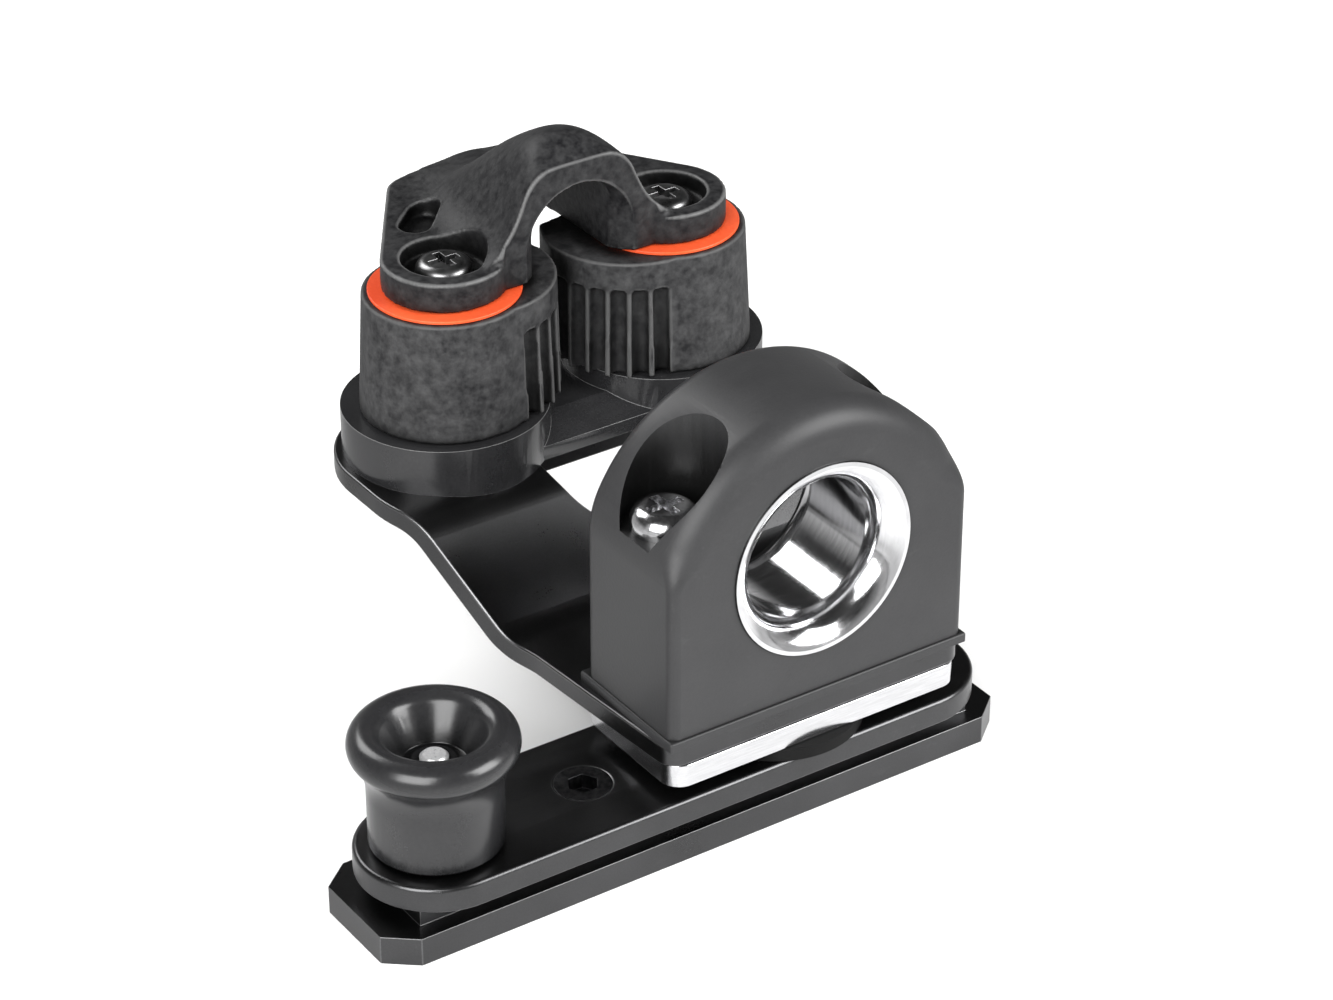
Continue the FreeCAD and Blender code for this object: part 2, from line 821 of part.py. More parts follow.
def linerProfile(grow, front, rear, bore):
    # (distance along the bore, radius) of the trumpet's outside, grown by a clearance;
    # the bore side is added by the liner itself
    sweep = "1.54 * (linerRim - linerLip - throatRadius)"
    throatFront = "(-blockFront - linerProud + %s)" % flareLength()
    throatRear = "(blockRear + linerProud - %s)" % flareLength()
    centre = "(throatRadius + %s)" % sweep
    skin = "(%s - linerWall - (%s))" % (sweep, grow)
    rim = "(linerRim + (%s))" % grow
    reach = "sqrt(%s^2 - (%s - %s)^2)" % (skin, centre, rim)
    return [
        (front, rim),
        ("%s - %s" % (throatFront, reach), rim),
        (throatFront, "%s - %s" % (centre, skin), throatFront, centre, "ccw"),
        (throatRear, "%s - %s" % (centre, skin)),
        ("%s + %s" % (throatRear, reach), rim, throatRear, centre, "ccw"),
        (rear, rim),
    ] + bore


def flareLength():
    rise = "(linerRim - linerLip - throatRadius)"
    sweep = "(1.54 * %s)" % rise
    return "sqrt(2 * %s * %s - %s^2)" % (sweep, rise, rise)


def fairleadLiner():
    body = newBody("FairleadLiner")
    profile = sketchOn(body, "LinerProfile", "YZ_Plane")
    sweep = "1.54 * (linerRim - linerLip - throatRadius)"
    centre = "(throatRadius + %s)" % sweep
    front = "-blockFront - linerProud"
    rear = "blockRear + linerProud"
    bore = [
        (rear, "linerRim - linerLip"),
        ("%s - %s" % (rear, flareLength()), "throatRadius",
         "%s - %s" % (rear, flareLength()), centre, "cw"),
        ("%s + %s" % (front, flareLength()), "throatRadius"),
        (front, "linerRim - linerLip", "%s + %s" % (front, flareLength()), centre, "cw"),
    ]
    outline(profile, linerProfile("0", front, rear, bore))
    turn(body, "LinerTurned", profile, "H_Axis")
    place(body, z="boreLevel")
    return body


def fairleadBlock():
    body = newBody("BlockBlank")
    spring = "(armTop + archSpring)"
    fall = "((blockHalf - archSide)^2 - (archRise - archSide)^2) / (2 * (archRise - archSide))"
    crown = "(%s + archRise)" % fall
    reach = "(%s - archSide)" % crown
    meetX = "(blockHalf - archSide) * %s / %s" % (crown, reach)
    meetZ = "%s - %s + %s * %s / %s" % (spring, fall, fall, crown, reach)
    face = sketchOn(body, "BlockFace", "XZ_Plane", "-blockRear")
    outline(face, [
        ("-blockHalf", "armTop"),
        ("blockHalf", "armTop"),
        ("blockHalf", spring),
        (meetX, meetZ, "blockHalf - archSide", spring, "ccw"),
        ("-" + meetX, meetZ, "0", "%s - %s" % (spring, fall), "ccw"),
        ("-blockHalf", spring, "archSide - blockHalf", spring, "ccw"),
    ])
    pad(body, "BlockArch", face, "blockFront + blockRear")
    doc.recompute()
    shape = body.Shape
    front = -size("blockFront")
    rear = size("blockRear")
    foot = size("armTop")
    springLevel = size(spring)

    def frontRadius(level):
        # small up to the arch's spring, full over the crown
        return size("frontSpringRound" if level < springLevel + 0.001 else "frontRound")
    rounds = []
    for index, edge in enumerate(shape.Edges, start=1):
        if liesAt(edge, "z", foot):
            continue
        if liesAt(edge, "y", rear):
            rounds.append((index, size("rearRound"), size("rearRound")))
        if liesAt(edge, "y", front):
            radii = [frontRadius(vertex.Z) for vertex in edge.Vertexes]
            rounds.append((index, radii[0], radii[1]))
    rounded = doc.addObject("Part::Fillet", "BlockRounded")
    rounded.Base = body
    rounded.Edges = rounds
    foot = newBody("BlockFoot")
    plan = sketchOn(foot, "FootOutline", "XY_Plane", "armTop")
    outline(plan, box("-blockHalf - footProud", "blockHalf + footProud",
                      "-blockFront - footProud", "blockRear + footProud"))
    slab = pad(foot, "FootSlab", plan, "footHeight")
    top = size("armTop + footHeight")
    bottom = size("armTop")

    def notFoot(edge):
        return not liesAt(edge, "z", bottom)
    roundEdges(foot, "FootRounds", slab, "footProud", notFoot)
    whole = doc.addObject("Part::MultiFuse", "BlockWhole")
    whole.Shapes = [rounded, foot]
    bore = newBody("BoreTool")
    profile = sketchOn(bore, "BoreProfile", "YZ_Plane")
    front = "-blockFront - 5"
    rear = "blockRear + 5"
    outline(profile, linerProfile("fitGap", front, rear, [(rear, "0"), (front, "0")]))
    turn(bore, "BoreTurned", profile, "H_Axis")
    place(bore, z="boreLevel")
    tools = [bore]
    tools.append(rod("NutWell", "nutWellRadius", "boltTop - armTop + nutWellRoof + 1",
                     z="armTop - 1"))
    for sign, hand in (("-", "Left"), ("", "Right")):
        x = sign + "blockScrewOffset"
        tools.append(rod("ScrewPocket" + hand, "pocketRadius", "blockHalf * 2",
                         sign + "(blockScrewOffset - pocketInset)",
                         "-blockScrewBack - pocketShift", "armTop + pocketFloor"))
        tools.append(rod("ScrewBore" + hand, "blockScrewShank + screwClearance",
                         "pocketFloor + 2", x, "-blockScrewBack", "armTop - 1"))
    return cutFrom("FairleadBlock", whole, tools)


def panScrew(name, x, y, seat, head, headHeight, shank, length):
    # seat is the level under the head; the head is domed, with a cross recess
    body = turned(name, [
        ("0", "-(%s)" % length),
        ("%s - 0.5" % shank, "-(%s)" % length),
        (shank, "0.5 - (%s)" % length),
        (shank, "0"),
        (head, "0"),
        (head, "0.3 * " + headHeight),
        ("%s - 0.7 * %s" % (head, headHeight), headHeight,
         "%s - 0.7 * %s" % (head, headHeight), "0.3 * " + headHeight, "ccw"),
        ("0", headHeight),
    ])
    doc.recompute()
    cross = sketchOn(body, name + "Cross", "XY_Plane", headHeight)
    arm = "0.55 * " + head
    half = "0.14 * " + head
    outline(cross, [
        (arm, "-" + half), (arm, half), (half, half), (half, arm),
        ("-" + half, arm), ("-" + half, half), ("-" + arm, half), ("-" + arm, "-" + half),
        ("-" + half, "-" + half), ("-" + half, "-" + arm), (half, "-" + arm), (half, "-" + half),
    ])
    pocket(body, name + "CrossCut", cross, "0.6 * " + headHeight)
    place(body, x, y, seat)
    return body


# Cam cleat

def cleatBase():
    lobes = []
    for sign, hand in (("-", "Left"), ("", "Right")):
        lobes.append(rod("BaseLobe" + hand, "lobeRadius", "baseTop - armTop",
                         sign + "cleatHalf", "cleatBack + lobeShift", "armTop"))
    web = newBody("BaseWeb")
    side = sketchOn(web, "WebSide", "YZ_Plane")
    outline(side, [
        ("webFront", "armTop"),
        ("webRear", "armTop"),
        ("webRear", "platformTop + webHeight"),
        ("webFront + webSlope", "platformTop + webHeight"),
        ("webFront", "platformTop + webNose"),
    ])
    pad(web, "WebSlab", side, "2 * cleatHalf", bothWays=True)
    whole = doc.addObject("Part::MultiFuse", "BaseWhole")
    whole.Shapes = lobes + [web]
    under = newBody("ArmShadow")
    shadow = sketchOn(under, "ArmShadowSide", "YZ_Plane")
    outline(shadow, bentPath("0", "armThick", "-armFront", "armRear + 40"))
    pad(under, "ArmShadowSolid", shadow, "2 * armTailHalf + 60", bothWays=True)
    below = newBody("BelowArm")
    lower = sketchOn(below, "BelowArmSide", "YZ_Plane")
    path = bentPath("armThick / 2", "armThick", "-armFront", "armRear + 40")
    outline(lower, path[1:6] + [("armRear + 40", "0"), ("rampStart", "0")])
    pad(below, "BelowArmSolid", lower, "2 * armTailHalf + 60", bothWays=True)
    tools = [under, below]
    for sign, hand in (("-", "Left"), ("", "Right")):
        x = sign + "cleatHalf"
        well = newBody("SpringWell" + hand)
        plan = sketchOn(well, "SpringWellOutline" + hand, "XY_Plane")
        ring(plan, "0", "0", "springWell")
        ring(plan, "0", "0", "sleeveRadius + 1")
        pad(well, "SpringWellRing" + hand, plan, "springWellDepth + 1")
        place(well, x, "cleatBack", "baseTop - springWellDepth")
        tools.append(well)
        tools.append(rod("BaseBore" + hand, "cleatScrewShank + screwClearance",
                         "baseTop", x, "cleatBack", "0"))
        tools.append(rod("SleeveSeat" + hand, "sleeveRadius + fitGap",
                         "springWellDepth + 1", x, "cleatBack", "baseTop - springWellDepth"))
    return cutFrom("CleatBase", whole, tools)


def camSleeve(name, x):
    body = newBody(name)
    plan = sketchOn(body, name + "Outline", "XY_Plane", "baseTop - springWellDepth")
    ring(plan, "0", "0", "sleeveRadius")
    ring(plan, "0", "0", "cleatScrewShank + screwClearance")
    pad(body, name + "Tube", plan, "capUnder - baseTop + springWellDepth")
    place(body, x, "cleatBack")
    return body


def camRing(name, x):
    body = newBody(name)
    plan = sketchOn(body, name + "Outline", "XY_Plane", "camTop")
    ring(plan, "0", "0", "ringRadius")
    ring(plan, "0", "0", "ringBore")
    pad(body, name + "Disc", plan, "ringThick")
    place(body, x, "cleatBack")
    return body


def camOutline(radius):
    # base circle, straight back of the nose, land between two round corners, and the
    # gripping flank to the heel
    reach = "(camNose - camNoseRound)"
    tip = ("%s * cos(camNoseAngle)" % reach, "%s * sin(camNoseAngle)" % reach)
    rear = "(camNoseAngle - camNoseLand)"
    knee = ("%s * cos(%s)" % (reach, rear), "%s * sin(%s)" % (reach, rear))
    lean = "(%s - acos((%s - camNoseRound) / %s) / 1 deg)" % (rear, radius, reach)
    back = ("%s * cos(%s)" % (radius, lean), "%s * sin(%s)" % (radius, lean))
    kneeBack = ("%s + camNoseRound * cos(%s)" % (knee[0], lean),
                "%s + camNoseRound * sin(%s)" % (knee[1], lean))
    kneeLand = ("camNose * cos(%s)" % rear, "camNose * sin(%s)" % rear)
    tipLand = ("camNose * cos(camNoseAngle)", "camNose * sin(camNoseAngle)")
    tipFlank = ("%s + camNoseRound * cos(camNoseAngle + 35)" % tip[0],
                "%s + camNoseRound * sin(camNoseAngle + 35)" % tip[1])
    heel = ("%s * cos(camHeelAngle)" % radius, "%s * sin(camHeelAngle)" % radius)
    return tip, back, knee, kneeBack, kneeLand, tipLand, tipFlank, heel


def flankCentre(start, end):
    # centre of the flank's arc, on the perpendicular bisector of its ends
    midX = "(((%s) + (%s)) / 2)" % (start[0], end[0])
    midY = "(((%s) + (%s)) / 2)" % (start[1], end[1])
    alongX = "((%s) - (%s))" % (end[0], start[0])
    alongY = "((%s) - (%s))" % (end[1], start[1])
    chord = "sqrt(%s^2 + %s^2)" % (alongX, alongY)
    rise = "sqrt(camFlank^2 - (%s / 2)^2)" % chord
    return ("%s - %s * %s / %s" % (midX, rise, alongY, chord),
            "%s + %s * %s / %s" % (midY, rise, alongX, chord))


def camRight():
    body = newBody("CamRight")
    sections = []
    for name, radius, level in (("CamFoot", "camFootRadius", "0"),
                                ("CamHead", "camTopRadius", "camHeight")):
        tip, back, knee, kneeBack, kneeLand, tipLand, tipFlank, heel = camOutline(radius)
        centre = flankCentre(tipFlank, heel)
        section = sketchOn(body, name, "XY_Plane", level)
        outline(section, [
            (back[0], back[1], "0", "0", "ccw"),
            kneeBack,
            (kneeLand[0], kneeLand[1], knee[0], knee[1], "ccw"),
            (tipLand[0], tipLand[1], "0", "0", "ccw"),
            (tipFlank[0], tipFlank[1], tip[0], tip[1], "ccw"),
            (heel[0], heel[1], centre[0], centre[1], "ccw"),
        ])
        sections.append(section)
    solid = body.newObject("PartDesign::AdditiveLoft", "CamBlank")
    solid.Profile = sections[0]
    solid.Sections = [sections[1]]
    solid.Ruled = True
    doc.recompute()
    bore = sketchOn(body, "CamBore", "XY_Plane", "camHeight")
    ring(bore, "0", "0", "sleeveRadius + runningGap")
    pocket(body, "CamBoreCut", bore)
    doc.recompute()
    tipFlank, heel = camOutline("camTopRadius")[-2:]
    centre = flankCentre(tipFlank, heel)
    flute = sketchOn(body, "Flute", "XY_Plane", "camHeight - fluteStop")
    setSize(flute, ".AttachmentOffset.Base.x", centre[0])
    setSize(flute, ".AttachmentOffset.Base.y", centre[1])
    reach = "(camFlank + fluteRadius - fluteDepth)"
    first = "(atan2((%s) - (%s); (%s) - (%s)) / 1 deg + fluteStart)" \
        % (tipFlank[1], centre[1], tipFlank[0], centre[0])
    ring(flute, "%s * cos(%s)" % (reach, first), "%s * sin(%s)" % (reach, first), "fluteRadius")
    cut = pocket(body, "FluteCut", flute)
    row = body.newObject("PartDesign::PolarPattern", "Flutes")
    row.Originals = [cut]
    row.Axis = (flute, ["N_Axis"])
    setSize(row, "Occurrences", "fluteCount")
    setSize(row, "Angle", "(fluteCount - 1) * flutePitch")
    body.Tip = row
    place(body, "cleatHalf", "cleatBack", "camUnder")
    return body


def camSpring(name, x):
    wire = size("camSpringWire")
    turns = size("camSpringTurns")
    base = size("baseTop - springWellDepth + camSpringSeat") + wire
    height = size("springWellDepth - camSpringSlack") - 2 * wire
    solid = coil(size("camSpringRadius"), height / turns, height, wire, base)
    return solid.translated(Vector(size(x), size("cleatBack"), 0))


# Cap

# half outlines of the hood as (share of the foot's width, share of the rise): a broad arch
# at the mouth, a narrow ridge behind it
mouth = [(1.0, 0.0), (0.86, 0.11), (0.72, 0.31), (0.61, 0.58), (0.52, 0.82), (0.38, 0.96), (0.18, 1.0)]
ridgeback = [(1.0, 0.0), (0.84, 0.07), (0.68, 0.22), (0.54, 0.47), (0.40, 0.74), (0.26, 0.91), (0.1, 0.99)]


def hoodSection(y, ridge, foot, under, shoulder, wide, blend):
    # flat shoulders either side of a bell that rises to the ridge
    right = []
    for broad, narrow in zip(mouth, ridgeback):
        x = broad[0] + (narrow[0] - broad[0]) * blend
        z = broad[1] + (narrow[1] - broad[1]) * blend
        right.append(Vector(foot * x, y, shoulder + (ridge - shoulder) * z))
    left = [Vector(-point.x, y, point.z) for point in reversed(right)]
    curve = Part.BSplineCurve()
    curve.interpolate(right + left)
    corners = [
        Vector(-foot, y, shoulder),
        Vector(-wide, y, shoulder),
        Vector(-wide, y, under),
        Vector(wide, y, under),
        Vector(wide, y, shoulder),
        Vector(foot, y, shoulder),
    ]
    edges = [curve.toShape()]
    for first, last in zip(corners, corners[1:]):
        edges.append(Part.makeLine(first, last))
    return Part.Wire(edges)


def tunnelSection(y, top, half, under):
    level = max(top - half, under + (top - under) * 0.4)
    left = Vector(-half, y, level)
    right = Vector(half, y, level)
    return Part.Wire([
        Part.Arc(left, Vector(0, y, top), right).toShape(),
        Part.makeLine(right, Vector(half, y, under)),
        Part.makeLine(Vector(half, y, under), Vector(-half, y, under)),
        Part.makeLine(Vector(-half, y, under), left),
    ])


def capPlan(level, height):
    # the two screw lobes, and between them a body that narrows to the tail
    half = size("cleatHalf")
    back = size("cleatBack")
    lobe = size("capLobe")
    front = back - lobe + size("hoodInset")
    tailHalf = size("capTailHalf")
    tail = size("capTailRadius")
    tailBack = back + size("capTailBack")
    across = math.hypot(half - tailHalf, tailBack - back)
    lean = math.atan2(tailBack - back, tailHalf - half)
    normal = lean - math.acos((lobe - tail) / across)

    def at(x, y, radius, angle):
        return Vector(x + radius * math.cos(angle), y + radius * math.sin(angle), level)

    def mirror(point):
        return Vector(-point.x, point.y, point.z)
    lobeFront = Vector(half, front, level)
    lobeBack = at(half, back, lobe, normal)
    tailSide = at(tailHalf, tailBack, tail, normal)
    tailTurn = at(tailHalf, tailBack, tail, (normal + math.pi / 2) / 2)
    tailEnd = at(tailHalf, tailBack, tail, math.pi / 2)
    edges = [
        Part.makeLine(mirror(lobeFront), lobeFront),
        Part.makeLine(lobeFront, lobeBack),
        Part.makeLine(lobeBack, tailSide),
        Part.Arc(tailSide, tailTurn, tailEnd).toShape(),
        Part.makeLine(tailEnd, mirror(tailEnd)),
        Part.Arc(mirror(tailEnd), mirror(tailTurn), mirror(tailSide)).toShape(),
        Part.makeLine(mirror(tailSide), mirror(lobeBack)),
        Part.makeLine(mirror(lobeBack), mirror(lobeFront)),
    ]
    middle = Part.Face(Part.Wire(edges)).extrude(Vector(0, 0, height))
    lobes = [Part.makeCylinder(lobe, height, Vector(x, back, level)) for x in (-half, half)]
    return middle.fuse(lobes).removeSplitter()


def slot(start, end, radius, level, height):
    # two round ends joined by straight sides
    along = Vector(end.x - start.x, end.y - start.y, 0).normalize()
    side = Vector(-along.y, along.x, 0) * radius
    lift = Vector(0, 0, level)
    a, b = start + side + lift, start - side + lift
    c, d = end - side + lift, end + side + lift
    edges = [
        Part.Arc(a, start - along * radius + lift, b).toShape(),
        Part.makeLine(b, c),
        Part.Arc(c, end + along * radius + lift, d).toShape(),
        Part.makeLine(d, a),
    ]
    return Part.Face(Part.Wire(edges)).extrude(Vector(0, 0, height))


def cleatCap():
    under = size("capUnder")
    shoulder = under + size("capShoulder")
    half = size("cleatHalf")
    back = size("cleatBack")
    lobe = size("capLobe")
    past = size("cutPast")
    wide = half + lobe + past
    foot = size("hoodFootHalf")
    front = back - lobe + size("hoodInset")
    rear = back + size("capTailBack") + size("capTailRadius")
    peak = size("hoodPeak")
    tail = size("hoodTail")
    length = rear - front
    tall = peak + past
    overrun = size("hoodOverrun")
    # share of the length, height, width of the foot, share of the ridge's outline
    stations = [
        (0.0, size("hoodFront"), foot, 0.0),
        (0.10, peak * 0.965, foot, 0.45),
        (0.21, peak, foot, 0.85),
        (0.36, peak * 0.9, foot, 1.0),
        (0.52, peak * 0.73, foot * 0.98, 1.0),
        (0.70, tail + (peak - tail) * 0.3, foot * 0.92, 0.8),
        (0.86, tail + (peak - tail) * 0.09, foot * 0.84, 0.4),
        (1.0, tail, foot * 0.76, 0.0),
    ]
    wall = size("hoodWall")
    wideHalf = size("tunnelHalf")
    narrowHalf = size("tunnelTailHalf")
    flare = size("tunnelFlare")
    outside = []
    inside = []
    for share, rise, width, blend in stations:
        y = front + share * length
        # the end sections stand a little outside the plan, the tunnel's further still
        beyond = {0.0: -overrun, 1.0: overrun}.get(share, 0.0)
        y += beyond
        outside.append(hoodSection(y, under + rise, width, under, shoulder, wide, blend))
        y += beyond
        halfWidth = wideHalf + (narrowHalf - wideHalf) * share
        if share == 0.0:
            # the mouth opens out to the front in a quarter round
            inside.append(tunnelSection(y, under + rise - wall, halfWidth + flare, under - past))
            for depth in (0.12, 0.3, 0.6):
                spread = flare * (1 - math.sqrt(1 - (1 - depth) ** 2))
                inside.append(tunnelSection(front + depth * flare, under + rise - wall,
                                            halfWidth + spread, under - past))
        else:
            inside.append(tunnelSection(y, under + rise - wall, halfWidth, under - past))
    hood = Part.makeLoft(outside, True, False)
    tunnel = Part.makeLoft(inside, True, True)
    lobes = [Part.makeCylinder(lobe, size("capShoulder"), Vector(x, back, under))
             for x in (-half, half)]
    solid = hood.common(capPlan(under, tall)).fuse(lobes).cut(tunnel)
    floor = under + size("capFloor")
    reach = size("hollowReach")
    for sign in (-1, 1):
        x = sign * half
        recess = Part.makeCylinder(size("capRecess"), tall, Vector(x, back, floor))
        hole = Part.makeCylinder(size("cleatScrewShank + screwClearance"), tall,
                                 Vector(x, back, under - past))
        near = Vector(x - sign * size("hollowInset"), back + reach, 0)
        far = near + Vector(-sign * size("hollowAcross"), size("hollowAlong"), 0)
        hollow = slot(near, far, size("hollowRadius"), shoulder - size("hollowDepth"), tall)
        solid = solid.cut(recess).cut(hole).cut(hollow)
    return solid.removeSplitter()


def feature(name, shape):
    item = doc.addObject("Part::Feature", name)
    item.Shape = shape
    return item


pieces = {
    "slide_runner": slideRunner(),
    "slide_plate": slidePlate(),
    "slide_screws": grouped("SlideScrews", [
        flushScrew("RearSlideScrew", "-slideScrewRear"),
        flushScrew("FrontSlideScrew", "slideScrewFront"),
    ]),
    "thrust_washer": thrustWasher(),
    "plunger_bush": plungerBush(),
    "plunger_pin": plungerPin(),
    "plunger_spring": feature("PlungerSpring", plungerSpring()),
    "plunger_knob": plungerKnob(),
    "pivot_bolt": pivotBolt(),
    "pivot_washer": pivotWasher(),
    "pivot_nut": pivotNut(),
    "pivot_bush": pivotBush(),
    "swivel_plate": swivelPlate(),
    "swivel_arm": swivelArm(),
    "fairlead_block": fairleadBlock(),
    "fairlead_liner": fairleadLiner(),
    "cleat_base": cleatBase(),
    "cam_right": camRight(),
    "cam_ring_right": camRing("CamRingRight", "cleatHalf"),
    "cam_ring_left": camRing("CamRingLeft", "-cleatHalf"),
    "cleat_cap": feature("CleatCap", cleatCap()),
}
pieces["plunger_spring"].Placement = FreeCAD.Placement(
    Vector(-size("plungerOffset"), 0, 0), FreeCAD.Rotation())
pieces["cam_left"] = mirrored("CamLeft", pieces["cam_right"])

blockScrew = panScrew("BlockScrewRight", "blockScrewOffset", "-blockScrewBack",
                      "armTop + pocketFloor", "blockScrewHead", "blockScrewHeadHeight",
                      "blockScrewShank", "pocketFloor + armThick + swivelThick")
pieces["block_screws"] = grouped("BlockScrews", [blockScrew, mirrored("BlockScrewLeft", blockScrew)])
cleatScrew = panScrew("CleatScrewRight", "cleatHalf", "cleatBack", "capUnder + capFloor",
                      "cleatScrewHead", "cleatScrewHeadHeight", "cleatScrewShank",
                      "capUnder + capFloor - platformUnder")
pieces["cleat_screws"] = grouped("CleatScrews", [cleatScrew, mirrored("CleatScrewLeft", cleatScrew)])
sleeve = camSleeve("CamSleeveRight", "cleatHalf")
pieces["cam_sleeves"] = grouped("CamSleeves", [sleeve, mirrored("CamSleeveLeft", sleeve)])
pieces["cam_springs"] = feature("CamSprings", Part.makeCompound([
    camSpring("CamSpringRight", "cleatHalf"),
    camSpring("CamSpringLeft", "-cleatHalf"),
]))

for label, item in pieces.items():
    item.Label = label
doc.recompute()

for item in doc.Objects:
    if "Invalid" in item.State or "Error" in item.State:
        raise RuntimeError("%s (%s) is %s" % (item.Name, item.Label, item.State))
for label, item in pieces.items():
    shape = item.Shape
    if shape.isNull() or not shape.isValid() or not shape.Solids:
        raise RuntimeError("%s has no valid solid" % label)

os.makedirs("parts", exist_ok=True)
for label, item in pieces.items():
    item.Shape.exportStep("parts/%s.step" % item.Label)
    print(label, len(item.Shape.Solids), round(item.Shape.Volume, 1))
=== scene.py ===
import math

import bmesh
import bpy
import numpy as np
from mathutils import Matrix, Vector


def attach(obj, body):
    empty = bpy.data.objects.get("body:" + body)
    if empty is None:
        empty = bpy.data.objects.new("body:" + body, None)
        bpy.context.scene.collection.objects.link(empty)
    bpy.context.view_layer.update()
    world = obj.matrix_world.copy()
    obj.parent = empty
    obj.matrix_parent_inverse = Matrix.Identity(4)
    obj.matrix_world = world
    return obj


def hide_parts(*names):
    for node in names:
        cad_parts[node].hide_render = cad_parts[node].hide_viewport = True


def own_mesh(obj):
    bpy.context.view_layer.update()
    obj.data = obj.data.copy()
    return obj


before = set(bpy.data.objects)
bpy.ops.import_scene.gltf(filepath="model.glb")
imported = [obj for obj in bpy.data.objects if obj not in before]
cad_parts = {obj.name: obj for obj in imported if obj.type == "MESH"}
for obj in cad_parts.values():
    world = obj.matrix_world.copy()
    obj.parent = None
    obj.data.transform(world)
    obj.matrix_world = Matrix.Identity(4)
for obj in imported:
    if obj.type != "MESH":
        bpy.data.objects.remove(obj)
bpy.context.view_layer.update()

print("frame loaded:", len(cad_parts), "nodes")


def metres(millimetres):
    # the settings of the pieces and finishes give lengths in millimetres
    return millimetres / 1000.0


# Node helpers

mixColour = {"first": 6, "second": 7, "result": 2}  # a Mix node's colour sockets, by their number
noiseRange = (0.3, 0.7)  # a noise seldom leaves it
plainContrast = (0.35, 0.65)  # where on a noise the dark and the light tone are full


def feed(tree, socket, value):
    # a link where the value comes from another node, else a plain setting
    if hasattr(value, "is_output"):
        tree.links.new(value, socket)
    else:
        socket.default_value = value


def addNode(tree, kind, inputs, **settings):
    node = tree.nodes.new(kind)
    for label, value in settings.items():
        setattr(node, label, value)
    for label, value in inputs.items():
        feed(tree, node.inputs[label], value)
    return node


def addMath(tree, operation, *values):
    inputs = dict(enumerate(values))
    return addNode(tree, "ShaderNodeMath", inputs, operation=operation).outputs[0]


def addNoise(tree, vector, scale, detail, roughness=0.55):
    inputs = {"Vector": vector, "Scale": scale, "Detail": detail, "Roughness": roughness}
    return addNode(tree, "ShaderNodeTexNoise", inputs).outputs["Fac"]


def spread(tree, factor, low, high, fromLow=noiseRange[0], fromHigh=noiseRange[1]):
    # lays the factor out between low and high
    inputs = {"Value": factor, "From Min": fromLow, "From Max": fromHigh, "To Min": low, "To Max": high}
    return addNode(tree, "ShaderNodeMapRange", inputs).outputs["Result"]


def shared(tree, first, second, share):
    # a share of the first, and the rest from the second
    return addMath(tree, "ADD", addMath(tree, "MULTIPLY", first, share),
                   addMath(tree, "MULTIPLY", second, 1.0 - share))


def blended(tree, factor, first, second):
    inputs = {"Factor": factor, "A": first, "B": second}
    return addNode(tree, "ShaderNodeMix", inputs).outputs["Result"]


def opaque(colour):
    return (*colour, 1.0)


def mixedColour(tree, factor, first, second):
    inputs = {"Factor": factor, mixColour["first"]: first, mixColour["second"]: second}
    return addNode(tree, "ShaderNodeMix", inputs, data_type="RGBA").outputs[mixColour["result"]]


def twoColours(tree, factor, dark, light, contrast=plainContrast):
    node = addNode(tree, "ShaderNodeValToRGB", {"Fac": factor})
    for element, place, colour in zip(node.color_ramp.elements, contrast, (dark, light)):
        element.position = place
        element.color = opaque(colour)
    return node.outputs["Color"]


def newSocket(group, label, way, kind):
    return group.interface.new_socket(name=label, in_out=way, socket_type="NodeSocket" + kind)


def newGroup(name, inputs, outputs, treeKind="ShaderNodeTree"):
    # inputs hold a name, a kind and a starting value, outputs a name and a kind
    group = bpy.data.node_groups.new(name, treeKind)
    for label, kind, value in inputs:
        socket = newSocket(group, label, "INPUT", kind)
        if value is not None:
            socket.default_value = value
    for label, kind in outputs:
        newSocket(group, label, "OUTPUT", kind)
    entry = group.nodes.new("NodeGroupInput").outputs
    leave = group.nodes.new("NodeGroupOutput").inputs
    return group, entry, leave


# Effects shared by the finishes

mouldGrain = {"detail": 3.0, "cellShare": 0.6, "slowShare": 0.65}


def mouldGrainGroup():
    # spark-eroded skin of a moulding: fine pits over a slow unevenness
    group, entry, leave = newGroup("mouldGrain", [
        ("Vector", "Vector", None),
        ("Grain", "Float", 2600.0),
        ("Drift", "Float", 90.0),
    ], [("Tone", "Float"), ("Height", "Float")])
    cells = addNode(group, "ShaderNodeTexVoronoi", {"Vector": entry["Vector"], "Scale": entry["Grain"]},
                    feature="SMOOTH_F1").outputs["Distance"]
    fine = addNoise(group, entry["Vector"], entry["Grain"], mouldGrain["detail"])
    slow = addNoise(group, entry["Vector"], entry["Drift"], mouldGrain["detail"])
    feed(group, leave["Tone"], shared(group, slow, fine, mouldGrain["slowShare"]))
    feed(group, leave["Height"], shared(group, cells, fine, mouldGrain["cellShare"]))
    return group


scuff = {
    "patchDetail": 5.0, "patchRoughness": 0.6, "patchRange": (0.48, 0.68),
    "hairDetail": 6.0, "hairRoughness": 0.7, "hairRange": (0.58, 0.72),
    "hairTurn": (0.3, 0.2, 0.7), "hairStretch": (1.0, 9.0, 2.0),
}


